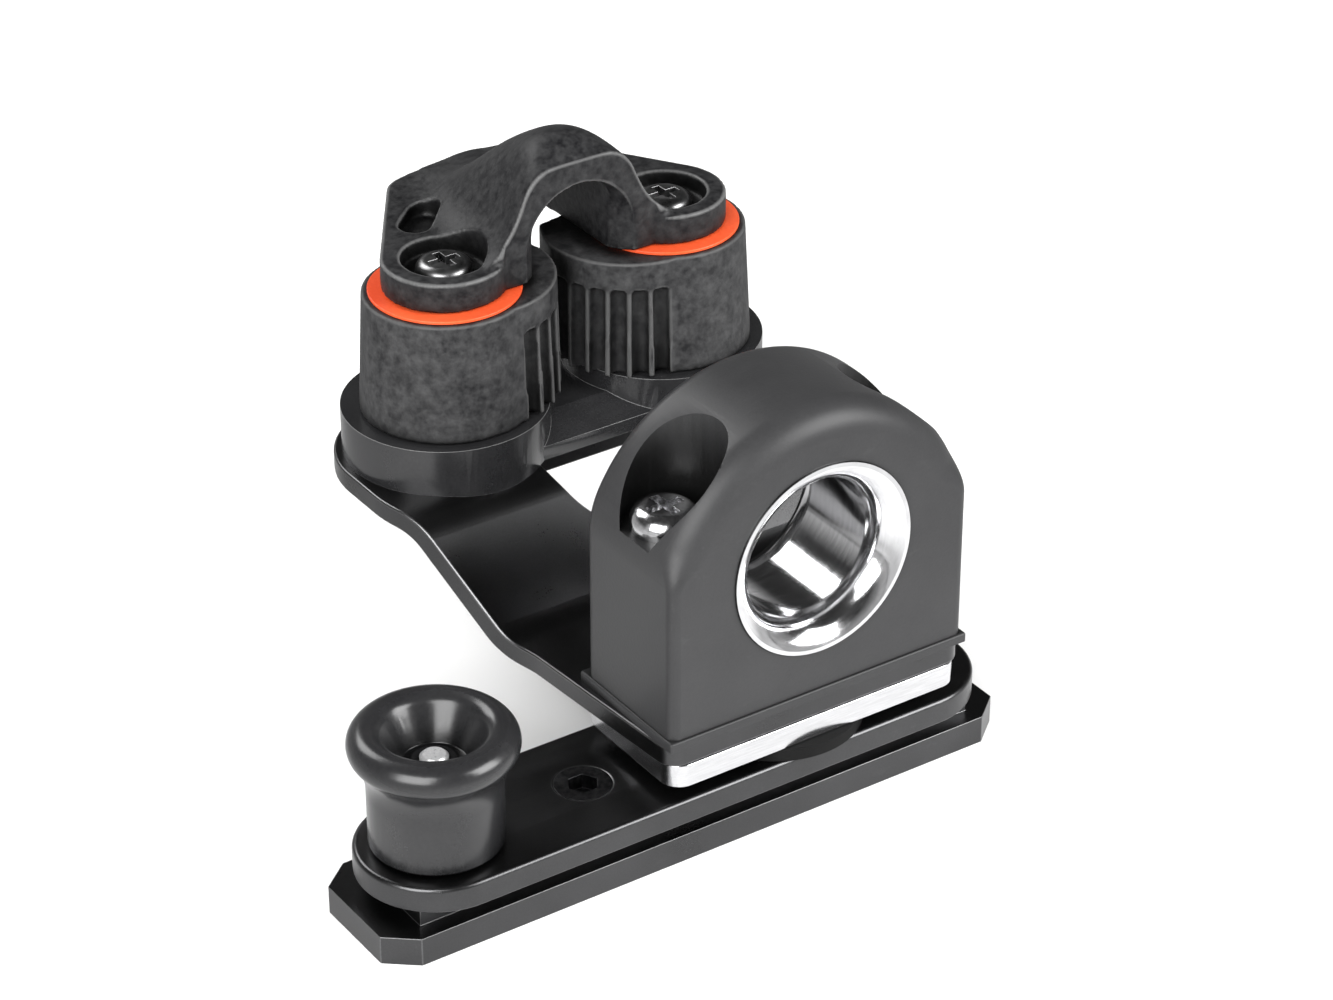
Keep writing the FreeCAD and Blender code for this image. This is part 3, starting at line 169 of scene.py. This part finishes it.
def scuffGroup():
    # faint rubbing and fine hairlines, as a mask
    group, entry, leave = newGroup("scuff", [
        ("Vector", "Vector", None),
        ("Patch", "Float", 60.0),
        ("Hairline", "Float", 240.0),
    ], [("Mask", "Float")])
    patch = addNoise(group, entry["Vector"], entry["Patch"], scuff["patchDetail"], scuff["patchRoughness"])
    along = addNode(group, "ShaderNodeMapping", {
        "Vector": entry["Vector"], "Rotation": scuff["hairTurn"], "Scale": scuff["hairStretch"],
    }).outputs["Vector"]
    hair = addNoise(group, along, entry["Hairline"], scuff["hairDetail"], scuff["hairRoughness"])
    mask = addMath(group, "MULTIPLY", spread(group, hair, 0.0, 1.0, *scuff["hairRange"]),
                   spread(group, patch, 0.0, 1.0, *scuff["patchRange"]))
    feed(group, leave["Mask"], mask)
    return group


polishLine = {"detail": 5.0, "roughness": 0.65}


def polishLineGroup():
    # lines that a polishing wheel leaves in steel, drawn out by the stretch
    group, entry, leave = newGroup("polishLine", [
        ("Vector", "Vector", None),
        ("Stretch", "Vector", (1.0, 1.0, 1.0)),
        ("Fineness", "Float", 900.0),
    ], [("Line", "Float")])
    drawn = addNode(group, "ShaderNodeVectorMath", {0: entry["Vector"], 1: entry["Stretch"]},
                    operation="MULTIPLY").outputs["Vector"]
    line = addNoise(group, drawn, entry["Fineness"], polishLine["detail"], polishLine["roughness"])
    feed(group, leave["Line"], line)
    return group


shadeAndHighlight = {
    "samples": 6,
    "unshadedFrom": 0.88,  # how open a place is that gets no painted shade
    "rimFrom": 0.05, "rimTo": 0.12,
    "patchScale": 400.0, "patchDetail": 3.0, "patchLift": 0.4,
}


def shadeAndHighlightGroup():
    # painted shade that darkens the hollows, and a painted highlight, a paler line along the rims that the
    # mesh marks
    group, entry, leave = newGroup("shadeAndHighlight", [
        ("Vector", "Vector", None),
        ("Reach", "Float", 0.004),
        ("Darkest", "Float", 0.3),
    ], [("HollowShade", "Float"), ("RimHighlight", "Float")])
    openness = addNode(group, "ShaderNodeAmbientOcclusion", {"Distance": entry["Reach"]},
                       samples=shadeAndHighlight["samples"]).outputs["AO"]
    # painted shade: darker where the ambient occlusion finds the place closed in
    hollowShade = spread(group, openness, 0.0, 1.0, shadeAndHighlight["unshadedFrom"], entry["Darkest"])
    mark = addNode(group, "ShaderNodeAttribute", {}, attribute_name="rim").outputs["Fac"]
    # painted highlight along the convex rims, made patchy by a noise
    rim = spread(group, mark, 0.0, 1.0, shadeAndHighlight["rimFrom"], shadeAndHighlight["rimTo"])
    patchy = addNoise(group, entry["Vector"], shadeAndHighlight["patchScale"], shadeAndHighlight["patchDetail"])
    uneven = addMath(group, "MULTIPLY", rim, addMath(group, "ADD", patchy, shadeAndHighlight["patchLift"]))
    feed(group, leave["HollowShade"], hollowShade)
    feed(group, leave["RimHighlight"], uneven)
    return group


effects = {"grain": mouldGrainGroup(), "scuff": scuffGroup(), "polish": polishLineGroup(),
           "shadeAndHighlight": shadeAndHighlightGroup()}


# Finishes

# depth of the bumps, how much a full scuff changes the surface, and how fine its marks are
plasticSkin = {"depth": 0.08, "scuff": 0.5, "marks": {"Patch": 60.0, "Hairline": 240.0}}
anodisedSkin = {"depth": 0.05, "scuff": 0.4, "marks": {"Patch": 70.0, "Hairline": 320.0}}
steelSkin = {"depth": 0.03, "scuff": 0.12, "marks": {"Patch": 90.0, "Hairline": 400.0}}

# dark and light are the two tones of the grain, rough the lowest and highest roughness, grain
# and drift how fine the pits and the slow unevenness are, and pit the strength of the bumps
# the hollow entry is a painted shade in recesses, with its tone, how far it looks and how closed a place
# is at its darkest, and the rim tone is a painted highlight along rims
plastics = {
    "blockBlack": {
        "dark": (0.027, 0.027, 0.028), "light": (0.035, 0.035, 0.036), "rough": (0.36, 0.46),
        "grain": 2600.0, "drift": 70.0, "pit": 0.16, "specular": 0.3, "scuffTone": (0.06, 0.06, 0.06),
        "hollowShade": {"tone": (0.003, 0.003, 0.003), "reach": 16.0, "darkest": 0.6},
    },
    "capBlack": {
        "dark": (0.006, 0.006, 0.007), "light": (0.03, 0.03, 0.031), "rough": (0.42, 0.56),
        "grain": 1300.0, "drift": 620.0, "pit": 0.7, "specular": 0.3, "contrast": (0.37, 0.66),
        "hollowShade": {"tone": (0.001, 0.001, 0.001), "reach": 6.0, "darkest": 0.5},
        "rimHighlightTone": (0.12, 0.12, 0.12),
    },
    "camGrey": {
        "dark": (0.01, 0.01, 0.011), "light": (0.052, 0.052, 0.053), "rough": (0.5, 0.66),
        "grain": 1300.0, "drift": 520.0, "pit": 0.7, "specular": 0.35, "contrast": (0.34, 0.68),
        "hollowShade": {"tone": (0.001, 0.001, 0.001), "reach": 3.6, "darkest": 0.62},
        "rimHighlightTone": (0.075, 0.075, 0.075),
    },
    "baseBlack": {
        "dark": (0.016, 0.016, 0.017), "light": (0.026, 0.026, 0.027), "rough": (0.16, 0.24),
        "grain": 2600.0, "drift": 80.0, "pit": 0.06, "specular": 0.6,
    },
    # a lighter copy of baseBlack for the bevels: a painted highlight along the base's edges
    "baseEdge": {
        "dark": (0.13, 0.13, 0.13), "light": (0.2, 0.2, 0.2), "rough": (0.2, 0.3),
        "grain": 2600.0, "drift": 80.0, "pit": 0.05,
    },
    "knobBlack": {
        "dark": (0.014, 0.014, 0.015), "light": (0.022, 0.022, 0.023), "rough": (0.2, 0.28),
        "grain": 1800.0, "drift": 90.0, "pit": 0.04,
        "hollowShade": {"tone": (0.001, 0.001, 0.001), "reach": 7.0, "darkest": 0.5},
    },
    "acetal": {
        "dark": (0.006, 0.006, 0.006), "light": (0.009, 0.009, 0.009), "rough": (0.6, 0.7),
        "grain": 2400.0, "drift": 80.0, "pit": 0.06, "specular": 0.1,
    },
    "orange": {
        "dark": (0.74, 0.07, 0.018), "light": (0.88, 0.12, 0.035), "rough": (0.32, 0.42),
        "grain": 1800.0, "drift": 60.0, "pit": 0.08,
    },
}
anodisedMetals = {
    "anodised": {
        "dark": (0.065, 0.065, 0.066), "light": (0.085, 0.085, 0.087), "rough": (0.26, 0.34),
        "grain": 4200.0, "drift": 60.0, "pit": 0.08, "scuffTone": (0.13, 0.13, 0.13),
    },
    # a lighter copy of the anodised finish for the bevels: a painted highlight along the edges, with
    # scuffs of its own
    "anodisedEdge": {
        "dark": (0.1, 0.1, 0.102), "light": (0.17, 0.17, 0.172), "rough": (0.3, 0.38),
        "grain": 4200.0, "drift": 60.0, "pit": 0.05, "scuffTone": (0.3, 0.3, 0.3),
    },
}
# stretch and fineness shape the lines that polishing leaves, and line is their strength
steels = {
    "linerSteel": {
        "dark": (0.66, 0.66, 0.67), "light": (0.8, 0.8, 0.81), "rough": (0.1, 0.17),
        "stretch": (1.0, 6.0, 1.0), "fineness": 260.0, "line": 0.05,
    },
    "plateSteel": {
        "dark": (0.58, 0.58, 0.59), "light": (0.7, 0.7, 0.71), "rough": (0.14, 0.2),
        "stretch": (0.3, 4.0, 6.0), "fineness": 900.0, "line": 0.1,
    },
    "screwSteel": {
        "dark": (0.62, 0.62, 0.63), "light": (0.8, 0.8, 0.81), "rough": (0.14, 0.24),
        "stretch": (3.0, 3.0, 1.0), "fineness": 700.0, "line": 0.08,
    },
    "satinSteel": {
        "dark": (0.62, 0.62, 0.63), "light": (0.8, 0.8, 0.8), "rough": (0.26, 0.34),
        "stretch": (3.0, 3.0, 1.0), "fineness": 700.0, "line": 0.05, "metal": 0.55,
    },
    # steel darkened all over, a painted shade for the screws that sit deep in the cap's recesses
    "dullSteel": {
        "dark": (0.16, 0.16, 0.162), "light": (0.28, 0.28, 0.282), "rough": (0.26, 0.34),
        "stretch": (1.0, 1.0, 1.0), "fineness": 300.0, "line": 0.0,
    },
    "blackSteel": {
        "dark": (0.03, 0.03, 0.032), "light": (0.07, 0.07, 0.072), "rough": (0.3, 0.42),
        "stretch": (2.0, 2.0, 1.0), "fineness": 700.0, "line": 0.1,
    },
}


def startMaterial(name):
    material = bpy.data.materials.new(name)
    material.use_nodes = True
    tree = material.node_tree
    coordinate = addNode(tree, "ShaderNodeTexCoord", {})
    return material, tree, tree.nodes["Principled BSDF"].inputs, coordinate.outputs["Object"]


def placeEffect(tree, effect, vector, **values):
    inputs = {"Vector": vector, **values}
    return addNode(tree, "ShaderNodeGroup", inputs, node_tree=effects[effect]).outputs


def scuffed(tree, vector, colour, tone, skin):
    mask = placeEffect(tree, "scuff", vector, **skin["marks"])["Mask"]
    return mixedColour(tree, spread(tree, mask, 0.0, skin["scuff"], 0.0, 1.0), colour, opaque(tone))


def bumped(tree, shader, height, strength, depth):
    inputs = {"Height": height, "Strength": strength, "Distance": metres(depth)}
    feed(tree, shader["Normal"], addNode(tree, "ShaderNodeBump", inputs).outputs["Normal"])


def mouldedPlastic(name, dark, light, rough, grain, drift, pit, specular=0.5, contrast=plainContrast,
                   scuffTone=None, hollowShade=None, rimHighlightTone=None):
    material, tree, shader, vector = startMaterial(name)
    grained = placeEffect(tree, "grain", vector, Grain=grain, Drift=drift)
    colour = twoColours(tree, grained["Tone"], dark, light, contrast)
    if scuffTone:
        colour = scuffed(tree, vector, colour, scuffTone, plasticSkin)
    # painted shade in the hollows and, where a rim tone is given, a painted highlight along the rims
    if hollowShade:
        wearAndPaintedLight = placeEffect(tree, "shadeAndHighlight", vector, Reach=metres(hollowShade["reach"]), Darkest=hollowShade["darkest"])
        if rimHighlightTone:
            colour = mixedColour(tree, wearAndPaintedLight["RimHighlight"], colour, opaque(rimHighlightTone))
        colour = mixedColour(tree, wearAndPaintedLight["HollowShade"], colour, opaque(hollowShade["tone"]))
    feed(tree, shader["Base Color"], colour)
    feed(tree, shader["Roughness"], spread(tree, grained["Tone"], *rough))
    feed(tree, shader["Specular IOR Level"], specular)
    bumped(tree, shader, grained["Height"], pit, plasticSkin["depth"])
    return material


def anodisedMetal(name, dark, light, rough, grain, drift, pit, scuffTone):
    # hard black skin on aluminium, which mirrors a few percent of what is round it
    material, tree, shader, vector = startMaterial(name)
    grained = placeEffect(tree, "grain", vector, Grain=grain, Drift=drift)
    colour = twoColours(tree, grained["Tone"], dark, light)
    feed(tree, shader["Base Color"], scuffed(tree, vector, colour, scuffTone, anodisedSkin))
    feed(tree, shader["Roughness"], spread(tree, grained["Tone"], *rough))
    feed(tree, shader["Metallic"], 1.0)
    bumped(tree, shader, grained["Height"], pit, anodisedSkin["depth"])
    return material


def polishedSteel(name, dark, light, rough, stretch, fineness, line, metal=1.0):
    material, tree, shader, vector = startMaterial(name)
    wheel = placeEffect(tree, "polish", vector, Stretch=stretch, Fineness=fineness)["Line"]
    rubbed = placeEffect(tree, "scuff", vector, **steelSkin["marks"])["Mask"]
    feed(tree, shader["Base Color"], twoColours(tree, wheel, dark, light))
    wearAndPaintedLight = addMath(tree, "MULTIPLY_ADD", rubbed, steelSkin["scuff"], spread(tree, wheel, *rough))
    feed(tree, shader["Roughness"], wearAndPaintedLight)
    feed(tree, shader["Metallic"], metal)
    bumped(tree, shader, wheel, line, steelSkin["depth"])
    return material


finishes = {}
for make, table in ((mouldedPlastic, plastics), (anodisedMetal, anodisedMetals), (polishedSteel, steels)):
    for name, facts in table.items():
        finishes[name] = make(name, **facts)
print("finishes made:", len(finishes))


# Mesh helpers

mending = {"weld": 0.002, "sliver": 0.001, "flat": 0.5}  # two lengths and an angle in degrees
edging = {"segments": 3, "fromAngle": 34.0, "smoothTo": 40.0}  # angles in degrees
moulding = {"ease": 0.5, "rimPasses": 2, "rimBlend": 0.5}
leastLength = 1e-9  # keeps an edge of no length from dividing by zero


def newPiece(name, mesh):
    piece = bpy.data.objects.new(name, mesh)
    bpy.context.scene.collection.objects.link(piece)
    return piece


def settled(piece):
    # the evaluated shape as a plain mesh, with no modifier left
    graph = bpy.context.evaluated_depsgraph_get()
    mesh = bpy.data.meshes.new_from_object(piece.evaluated_get(graph), preserve_all_data_layers=True,
                                           depsgraph=graph)
    piece.modifiers.clear()
    piece.data = mesh


def shadeSmooth(mesh):
    for face in mesh.polygons:
        face.use_smooth = True


def paint(mesh, *names):
    mesh.materials.clear()
    for name in names:
        mesh.materials.append(finishes[name])


def mergedCopy(node, flatten):
    # a node's mesh is loose triangles, so its corners are welded, and its flat faces joined if wanted
    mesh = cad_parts[node].data.copy()
    work = bmesh.new()
    work.from_mesh(mesh)
    bmesh.ops.remove_doubles(work, verts=work.verts, dist=metres(mending["weld"]))
    bmesh.ops.dissolve_degenerate(work, edges=work.edges, dist=metres(mending["sliver"]))
    if flatten:
        bmesh.ops.dissolve_limit(work, angle_limit=math.radians(mending["flat"]), verts=work.verts,
                                 edges=work.edges)
    work.to_mesh(mesh)
    work.free()
    return mesh


def handOver(piece, node, body):
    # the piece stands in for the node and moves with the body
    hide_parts(node)
    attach(piece, body)


def dress(name, node, body, finish, slot, edge, fromAngle=edging["fromAngle"], edgeHighlightFinish=None):
    # the node's own shape with its sharp edges broken
    piece = newPiece(name, mergedCopy(node, flatten=True))
    shadeSmooth(piece.data)
    piece.data.set_sharp_from_angle(angle=math.radians(edging["smoothTo"]))
    bevel = piece.modifiers.new("edge", "BEVEL")
    bevel.limit_method = "ANGLE"
    bevel.angle_limit = math.radians(fromAngle)
    bevel.width = metres(edge)
    bevel.segments = edging["segments"]
    bevel.use_clamp_overlap = True
    bevel.harden_normals = True
    # the bevels take a second, lighter finish where one is given: a painted highlight along the edges
    if edgeHighlightFinish:
        paint(piece.data, finish, edgeHighlightFinish)
        bevel.material = 1
    else:
        paint(piece.data, finish)
    settled(piece)
    handOver(piece, node, body)


def vectorsOf(items, attribute):
    values = np.empty(len(items) * 3)
    items.foreach_get(attribute, values)
    return values.reshape(-1, 3)


def markRims(mesh):
    # how far each vertex stands proud of its neighbours, evened out along the surface
    count = len(mesh.vertices)
    places = vectorsOf(mesh.vertices, "co")
    normals = vectorsOf(mesh.vertex_normals, "vector")
    ends = np.empty(len(mesh.edges) * 2, dtype=int)
    mesh.edges.foreach_get("vertices", ends)
    first, second = ends.reshape(-1, 2).T
    step = places[second] - places[first]
    step /= np.maximum(np.linalg.norm(step, axis=1), leastLength)[:, None]

    def gathered(atFirst, atSecond):
        # the sum over the edges that meet at each vertex
        return np.bincount(first, atFirst, count) + np.bincount(second, atSecond, count)

    edgesAt = np.maximum(gathered(None, None), 1)
    rise = -np.sum(normals[first] * step, axis=1)
    fall = np.sum(normals[second] * step, axis=1)
    proud = gathered(rise, fall) / edgesAt
    for _ in range(moulding["rimPasses"]):
        near = gathered(proud[second], proud[first]) / edgesAt
        proud = (1.0 - moulding["rimBlend"]) * proud + moulding["rimBlend"] * near
    mesh.attributes.new("rim", "FLOAT", "POINT").data.foreach_set("value", proud)


def soften(name, node, body, finish, slot, voxel, passes):
    # the node's shape with the rounded edges of a moulding
    piece = newPiece(name, mergedCopy(node, flatten=False))
    skin = piece.modifiers.new("skin", "REMESH")
    skin.mode = "VOXEL"
    skin.voxel_size = metres(voxel)
    ease = piece.modifiers.new("ease", "SMOOTH")
    ease.factor = moulding["ease"]
    ease.iterations = passes
    settled(piece)
    shadeSmooth(piece.data)
    markRims(piece.data)
    paint(piece.data, finish)
    handOver(piece, node, body)


def makePieces(pieces, body):
    for name, facts in pieces.items():
        make = soften if "voxel" in facts else dress
        make(name, body=body, **facts)


# Round coils in the place of the CAD springs

def windingTree():
    group, entry, leave = newGroup("winding", [
        ("Radius", "Float", 0.003),
        ("Height", "Float", 0.01),
        ("Turns", "Float", 6.0),
        ("Wire", "Float", 0.0004),
        ("Steps", "Int", 40),
        ("Sides", "Int", 10),
        ("Finish", "Material", None),
    ], [("Geometry", "Geometry")], treeKind="GeometryNodeTree")
    spiral = addNode(group, "GeometryNodeCurveSpiral", {
        "Resolution": entry["Steps"], "Rotations": entry["Turns"], "Height": entry["Height"],
        "Start Radius": entry["Radius"], "End Radius": entry["Radius"],
    }).outputs["Curve"]
    section = addNode(group, "GeometryNodeCurvePrimitiveCircle", {
        "Resolution": entry["Sides"], "Radius": entry["Wire"],
    }).outputs["Curve"]
    sweep = addNode(group, "GeometryNodeCurveToMesh", {
        "Curve": spiral, "Profile Curve": section, "Fill Caps": True,
    }).outputs["Mesh"]
    real = addNode(group, "GeometryNodeRealizeInstances", {"Geometry": sweep}).outputs["Geometry"]
    painted = addNode(group, "GeometryNodeSetMaterial", {"Geometry": real, "Material": entry["Finish"]})
    feed(group, leave["Geometry"], painted.outputs["Geometry"])
    return group


windings = windingTree()


def wind(name, middles, spring, finish):
    # one mesh with a coil round each middle
    values = {
        "Radius": metres(spring["radius"]),
        "Height": metres(spring["high"] - spring["low"]),
        "Turns": spring["turns"],
        "Wire": metres(spring["wire"]),
        "Finish": finishes[finish],
    }
    sockets = {item.name: item.identifier for item in windings.interface.items_tree}
    work = bmesh.new()
    for x, y in middles:
        coil = newPiece(name + "Turn", bpy.data.meshes.new(name + "Turn"))
        modifier = coil.modifiers.new("winding", "NODES")
        modifier.node_group = windings
        for label, value in values.items():
            modifier[sockets[label]] = value
        settled(coil)
        coil.data.transform(Matrix.Translation((metres(x), metres(y), metres(spring["low"]))))
        work.from_mesh(coil.data)
        bpy.data.objects.remove(coil)
    mesh = bpy.data.meshes.new(name)
    bmesh.ops.recalc_face_normals(work, faces=work.faces)
    work.to_mesh(mesh)
    work.free()
    shadeSmooth(mesh)
    paint(mesh, finish)
    return newPiece(name, mesh)


# Slide

slidePieces = {
    "slidePlate": {"node": "slide_plate", "finish": "anodised", "slot": "black_anodised", "edge": 0.25,
                   "edgeHighlightFinish": "anodisedEdge"},
    "slideRunner": {"node": "slide_runner", "finish": "anodised", "slot": "black_anodised", "edge": 0.35,
                    "edgeHighlightFinish": "anodisedEdge"},
    "slideScrews": {"node": "slide_screws", "finish": "blackSteel", "slot": "black_steel", "edge": 0.12},
    "thrustWasher": {"node": "thrust_washer", "finish": "acetal", "slot": "acetal", "edge": 0.2},
    "plungerBush": {"node": "plunger_bush", "finish": "screwSteel", "slot": "steel", "edge": 0.15},
    "pivotBolt": {"node": "pivot_bolt", "finish": "screwSteel", "slot": "steel", "edge": 0.15},
    "pivotWasher": {"node": "pivot_washer", "finish": "screwSteel", "slot": "steel", "edge": 0.12},
    "pivotNut": {"node": "pivot_nut", "finish": "screwSteel", "slot": "steel", "edge": 0.3},
}

makePieces(slidePieces, "slide")
print("slide dressed")


# Plunger stop

plungerKnob = {"node": "plunger_knob", "finish": "knobBlack", "slot": "black_nylon", "edge": 0.15}
plungerSpring = {"radius": 3.22, "low": 6.55, "high": 17.45, "turns": 6.0, "wire": 0.35,
                 "middle": (-55.8, 0.0), "fixedEnd": 17.8, "stroke": 5.0}

makePieces({"plungerKnob": plungerKnob}, "plunger")
paint(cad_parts["plunger_pin"].data, "satinSteel")

plungerCoil = wind("plungerCoil", [plungerSpring["middle"]], plungerSpring, "screwSteel")
handOver(plungerCoil, "plunger_spring", "slide")
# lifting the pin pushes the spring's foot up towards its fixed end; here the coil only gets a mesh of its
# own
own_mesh(plungerCoil)
print("plunger dressed")


# Swivel, arm and fairlead

swivelPieces = {
    "swivelPlate": {"node": "swivel_plate", "finish": "plateSteel", "slot": "steel", "edge": 0.35},
    "swivelArm": {"node": "swivel_arm", "finish": "anodised", "slot": "black_anodised", "edge": 0.55,
                  "edgeHighlightFinish": "anodisedEdge"},
    "pivotBush": {"node": "pivot_bush", "finish": "acetal", "slot": "acetal", "edge": 0.2},
    "fairleadBlock": {"node": "fairlead_block", "finish": "blockBlack", "slot": "black_nylon",
                      "edge": 0.35},
    "blockScrews": {"node": "block_screws", "finish": "screwSteel", "slot": "steel", "edge": 0.15},
}

makePieces(swivelPieces, "swivel")
paint(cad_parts["fairlead_liner"].data, "linerSteel")
print("fairlead dressed")


# Cam cleat

cleatPieces = {
    "cleatBase": {"node": "cleat_base", "finish": "baseBlack", "slot": "black_nylon", "edge": 0.4,
                  "fromAngle": 55.0, "edgeHighlightFinish": "baseEdge"},
    "cleatCap": {"node": "cleat_cap", "finish": "capBlack", "slot": "black_nylon",
                 "voxel": 0.33, "passes": 4},
    "cleatScrews": {"node": "cleat_screws", "finish": "dullSteel", "slot": "steel", "edge": 0.12},
    "camSleeves": {"node": "cam_sleeves", "finish": "screwSteel", "slot": "steel", "edge": 0.1},
}
cam = {"finish": "camGrey", "slot": "cam_black", "voxel": 0.31, "passes": 2}
camRing = {"finish": "orange", "slot": "orange_washer", "edge": 0.12}
camSpring = {"radius": 6.7, "low": 38.25, "high": 40.75, "turns": 2.0, "wire": 0.45,
             "middles": ((-19.0, 55.5), (19.0, 55.5))}

makePieces(cleatPieces, "swivel")
for hand in ("left", "right"):
    makePieces({
        "cam" + hand.capitalize(): {"node": "cam_" + hand, **cam},
        "camRing" + hand.capitalize(): {"node": "cam_ring_" + hand, **camRing},
    }, "cam_" + hand)
camCoils = wind("camCoils", camSpring["middles"], camSpring, "screwSteel")
handOver(camCoils, "cam_springs", "swivel")
print("cleat dressed")


# Stage, light and camera

# places, sizes and distances here are in metres, the lens and its sensor in millimetres

backdrop = {
    "reach": 2.5, "colour": (0.93, 0.93, 0.925), "shade": 0.99, "patchScale": 30.0, "patchDetail": 2.0,
    "rough": 0.8, "specular": 0.2,
    # what polished faces see of the floor falls off over this distance
    "near": 0.85, "far": 0.3, "fallFrom": 0.05, "fallTo": 0.16,
    # the paper runs out into the white background over this distance
    "fadeFrom": 0.22, "fadeTo": 0.42,
}
# light falls on the object, the camera sees white, and polished faces see a horizon that darkens upwards
studio = {"colour": (1.0, 1.0, 1.0), "light": 0.45, "seen": 1.0,
          "horizon": 0.5, "overhead": 0.03, "overheadFrom": 0.42}
lamps = {
    # the side of each square lamp, and its power in watts
    "keyLamp": {"place": (-0.58, -0.34, 0.42), "aim": (0.0, 0.02, 0.03), "size": 0.55, "power": 8.5},
    "fillLamp": {"place": (0.42, -0.52, 0.42), "aim": (0.0, 0.02, 0.03), "size": 0.46, "power": 7.5},
    "backLamp": {"place": (-0.15, 0.6, 0.55), "aim": (0.0, 0.03, 0.03), "size": 0.35, "power": 2.5},
}
viewer = {
    "place": (-0.27841, -0.38328, 0.32866), "toward": (0.4836, 0.7123, -0.5142),
    "lens": 108.0, "sensor": 36.0, "clipStart": 0.01, "clipEnd": 20.0,
}


def makeFloor():
    reach = backdrop["reach"]
    mesh = bpy.data.meshes.new("floor")
    mesh.from_pydata([(-reach, -reach, 0), (reach, -reach, 0), (reach, reach, 0), (-reach, reach, 0)],
                     [], [(0, 1, 2, 3)])
    floor = newPiece("floor", mesh)
    material, tree, shader, vector = startMaterial("floorPaper")
    tone = addNoise(tree, vector, backdrop["patchScale"], backdrop["patchDetail"])
    shaded = tuple(part * backdrop["shade"] for part in backdrop["colour"])
    paper = twoColours(tree, tone, shaded, backdrop["colour"])
    away = addNode(tree, "ShaderNodeVectorMath", {0: vector}, operation="LENGTH").outputs["Value"]
    mirrored = spread(tree, away, backdrop["near"], backdrop["far"],
                      backdrop["fallFrom"], backdrop["fallTo"])
    path = addNode(tree, "ShaderNodeLightPath", {}).outputs
    feed(tree, shader["Base Color"], mixedColour(tree, path["Is Glossy Ray"], paper, mirrored))
    feed(tree, shader["Roughness"], backdrop["rough"])
    feed(tree, shader["Specular IOR Level"], backdrop["specular"])
    fade = spread(tree, away, 0.0, 1.0, backdrop["fadeFrom"], backdrop["fadeTo"])
    clear = addNode(tree, "ShaderNodeBsdfTransparent", {}).outputs["BSDF"]
    mix = addNode(tree, "ShaderNodeMixShader", {
        "Fac": addMath(tree, "MULTIPLY", fade, path["Is Camera Ray"]),
        1: tree.nodes["Principled BSDF"].outputs["BSDF"],
        2: clear,
    })
    feed(tree, tree.nodes["Material Output"].inputs["Surface"], mix.outputs["Shader"])
    mesh.materials.append(material)


def makeWorld():
    world = bpy.data.worlds.new("studio")
    bpy.context.scene.world = world
    world.use_nodes = True
    tree = world.node_tree
    path = addNode(tree, "ShaderNodeLightPath", {}).outputs
    around = addNode(tree, "ShaderNodeTexCoord", {}).outputs["Generated"]
    height = addNode(tree, "ShaderNodeSeparateXYZ", {"Vector": around}).outputs["Z"]
    mirrored = spread(tree, height, studio["horizon"], studio["overhead"], 0.0, studio["overheadFrom"])
    light = blended(tree, path["Is Glossy Ray"], studio["light"], mirrored)
    seen = addMath(tree, "MAXIMUM", path["Is Camera Ray"], path["Is Transmission Ray"])
    background = tree.nodes["Background"].inputs
    feed(tree, background["Color"], opaque(studio["colour"]))
    feed(tree, background["Strength"], blended(tree, seen, light, studio["seen"]))


def aimed(name, data, place, direction):
    item = bpy.data.objects.new(name, data)
    bpy.context.scene.collection.objects.link(item)
    item.location = place
    item.rotation_mode = "QUATERNION"
    item.rotation_quaternion = Vector(direction).to_track_quat("-Z", "Y")
    return item


def makeLamp(name, place, aim, size, power):
    light = bpy.data.lights.new(name, "AREA")
    light.shape = "SQUARE"
    light.size = size
    light.energy = power
    aimed(name, light, place, Vector(aim) - Vector(place))


def makeCamera():
    lens = bpy.data.cameras.new("viewer")
    lens.lens = viewer["lens"]
    lens.sensor_width = viewer["sensor"]
    lens.sensor_fit = "HORIZONTAL"
    lens.clip_start = viewer["clipStart"]
    lens.clip_end = viewer["clipEnd"]
    bpy.context.scene.camera = aimed("viewer", lens, viewer["place"], viewer["toward"])


makeFloor()
makeWorld()
for name, facts in lamps.items():
    makeLamp(name, **facts)
makeCamera()
bpy.context.scene.view_settings.view_transform = "Standard"
print("stage set")
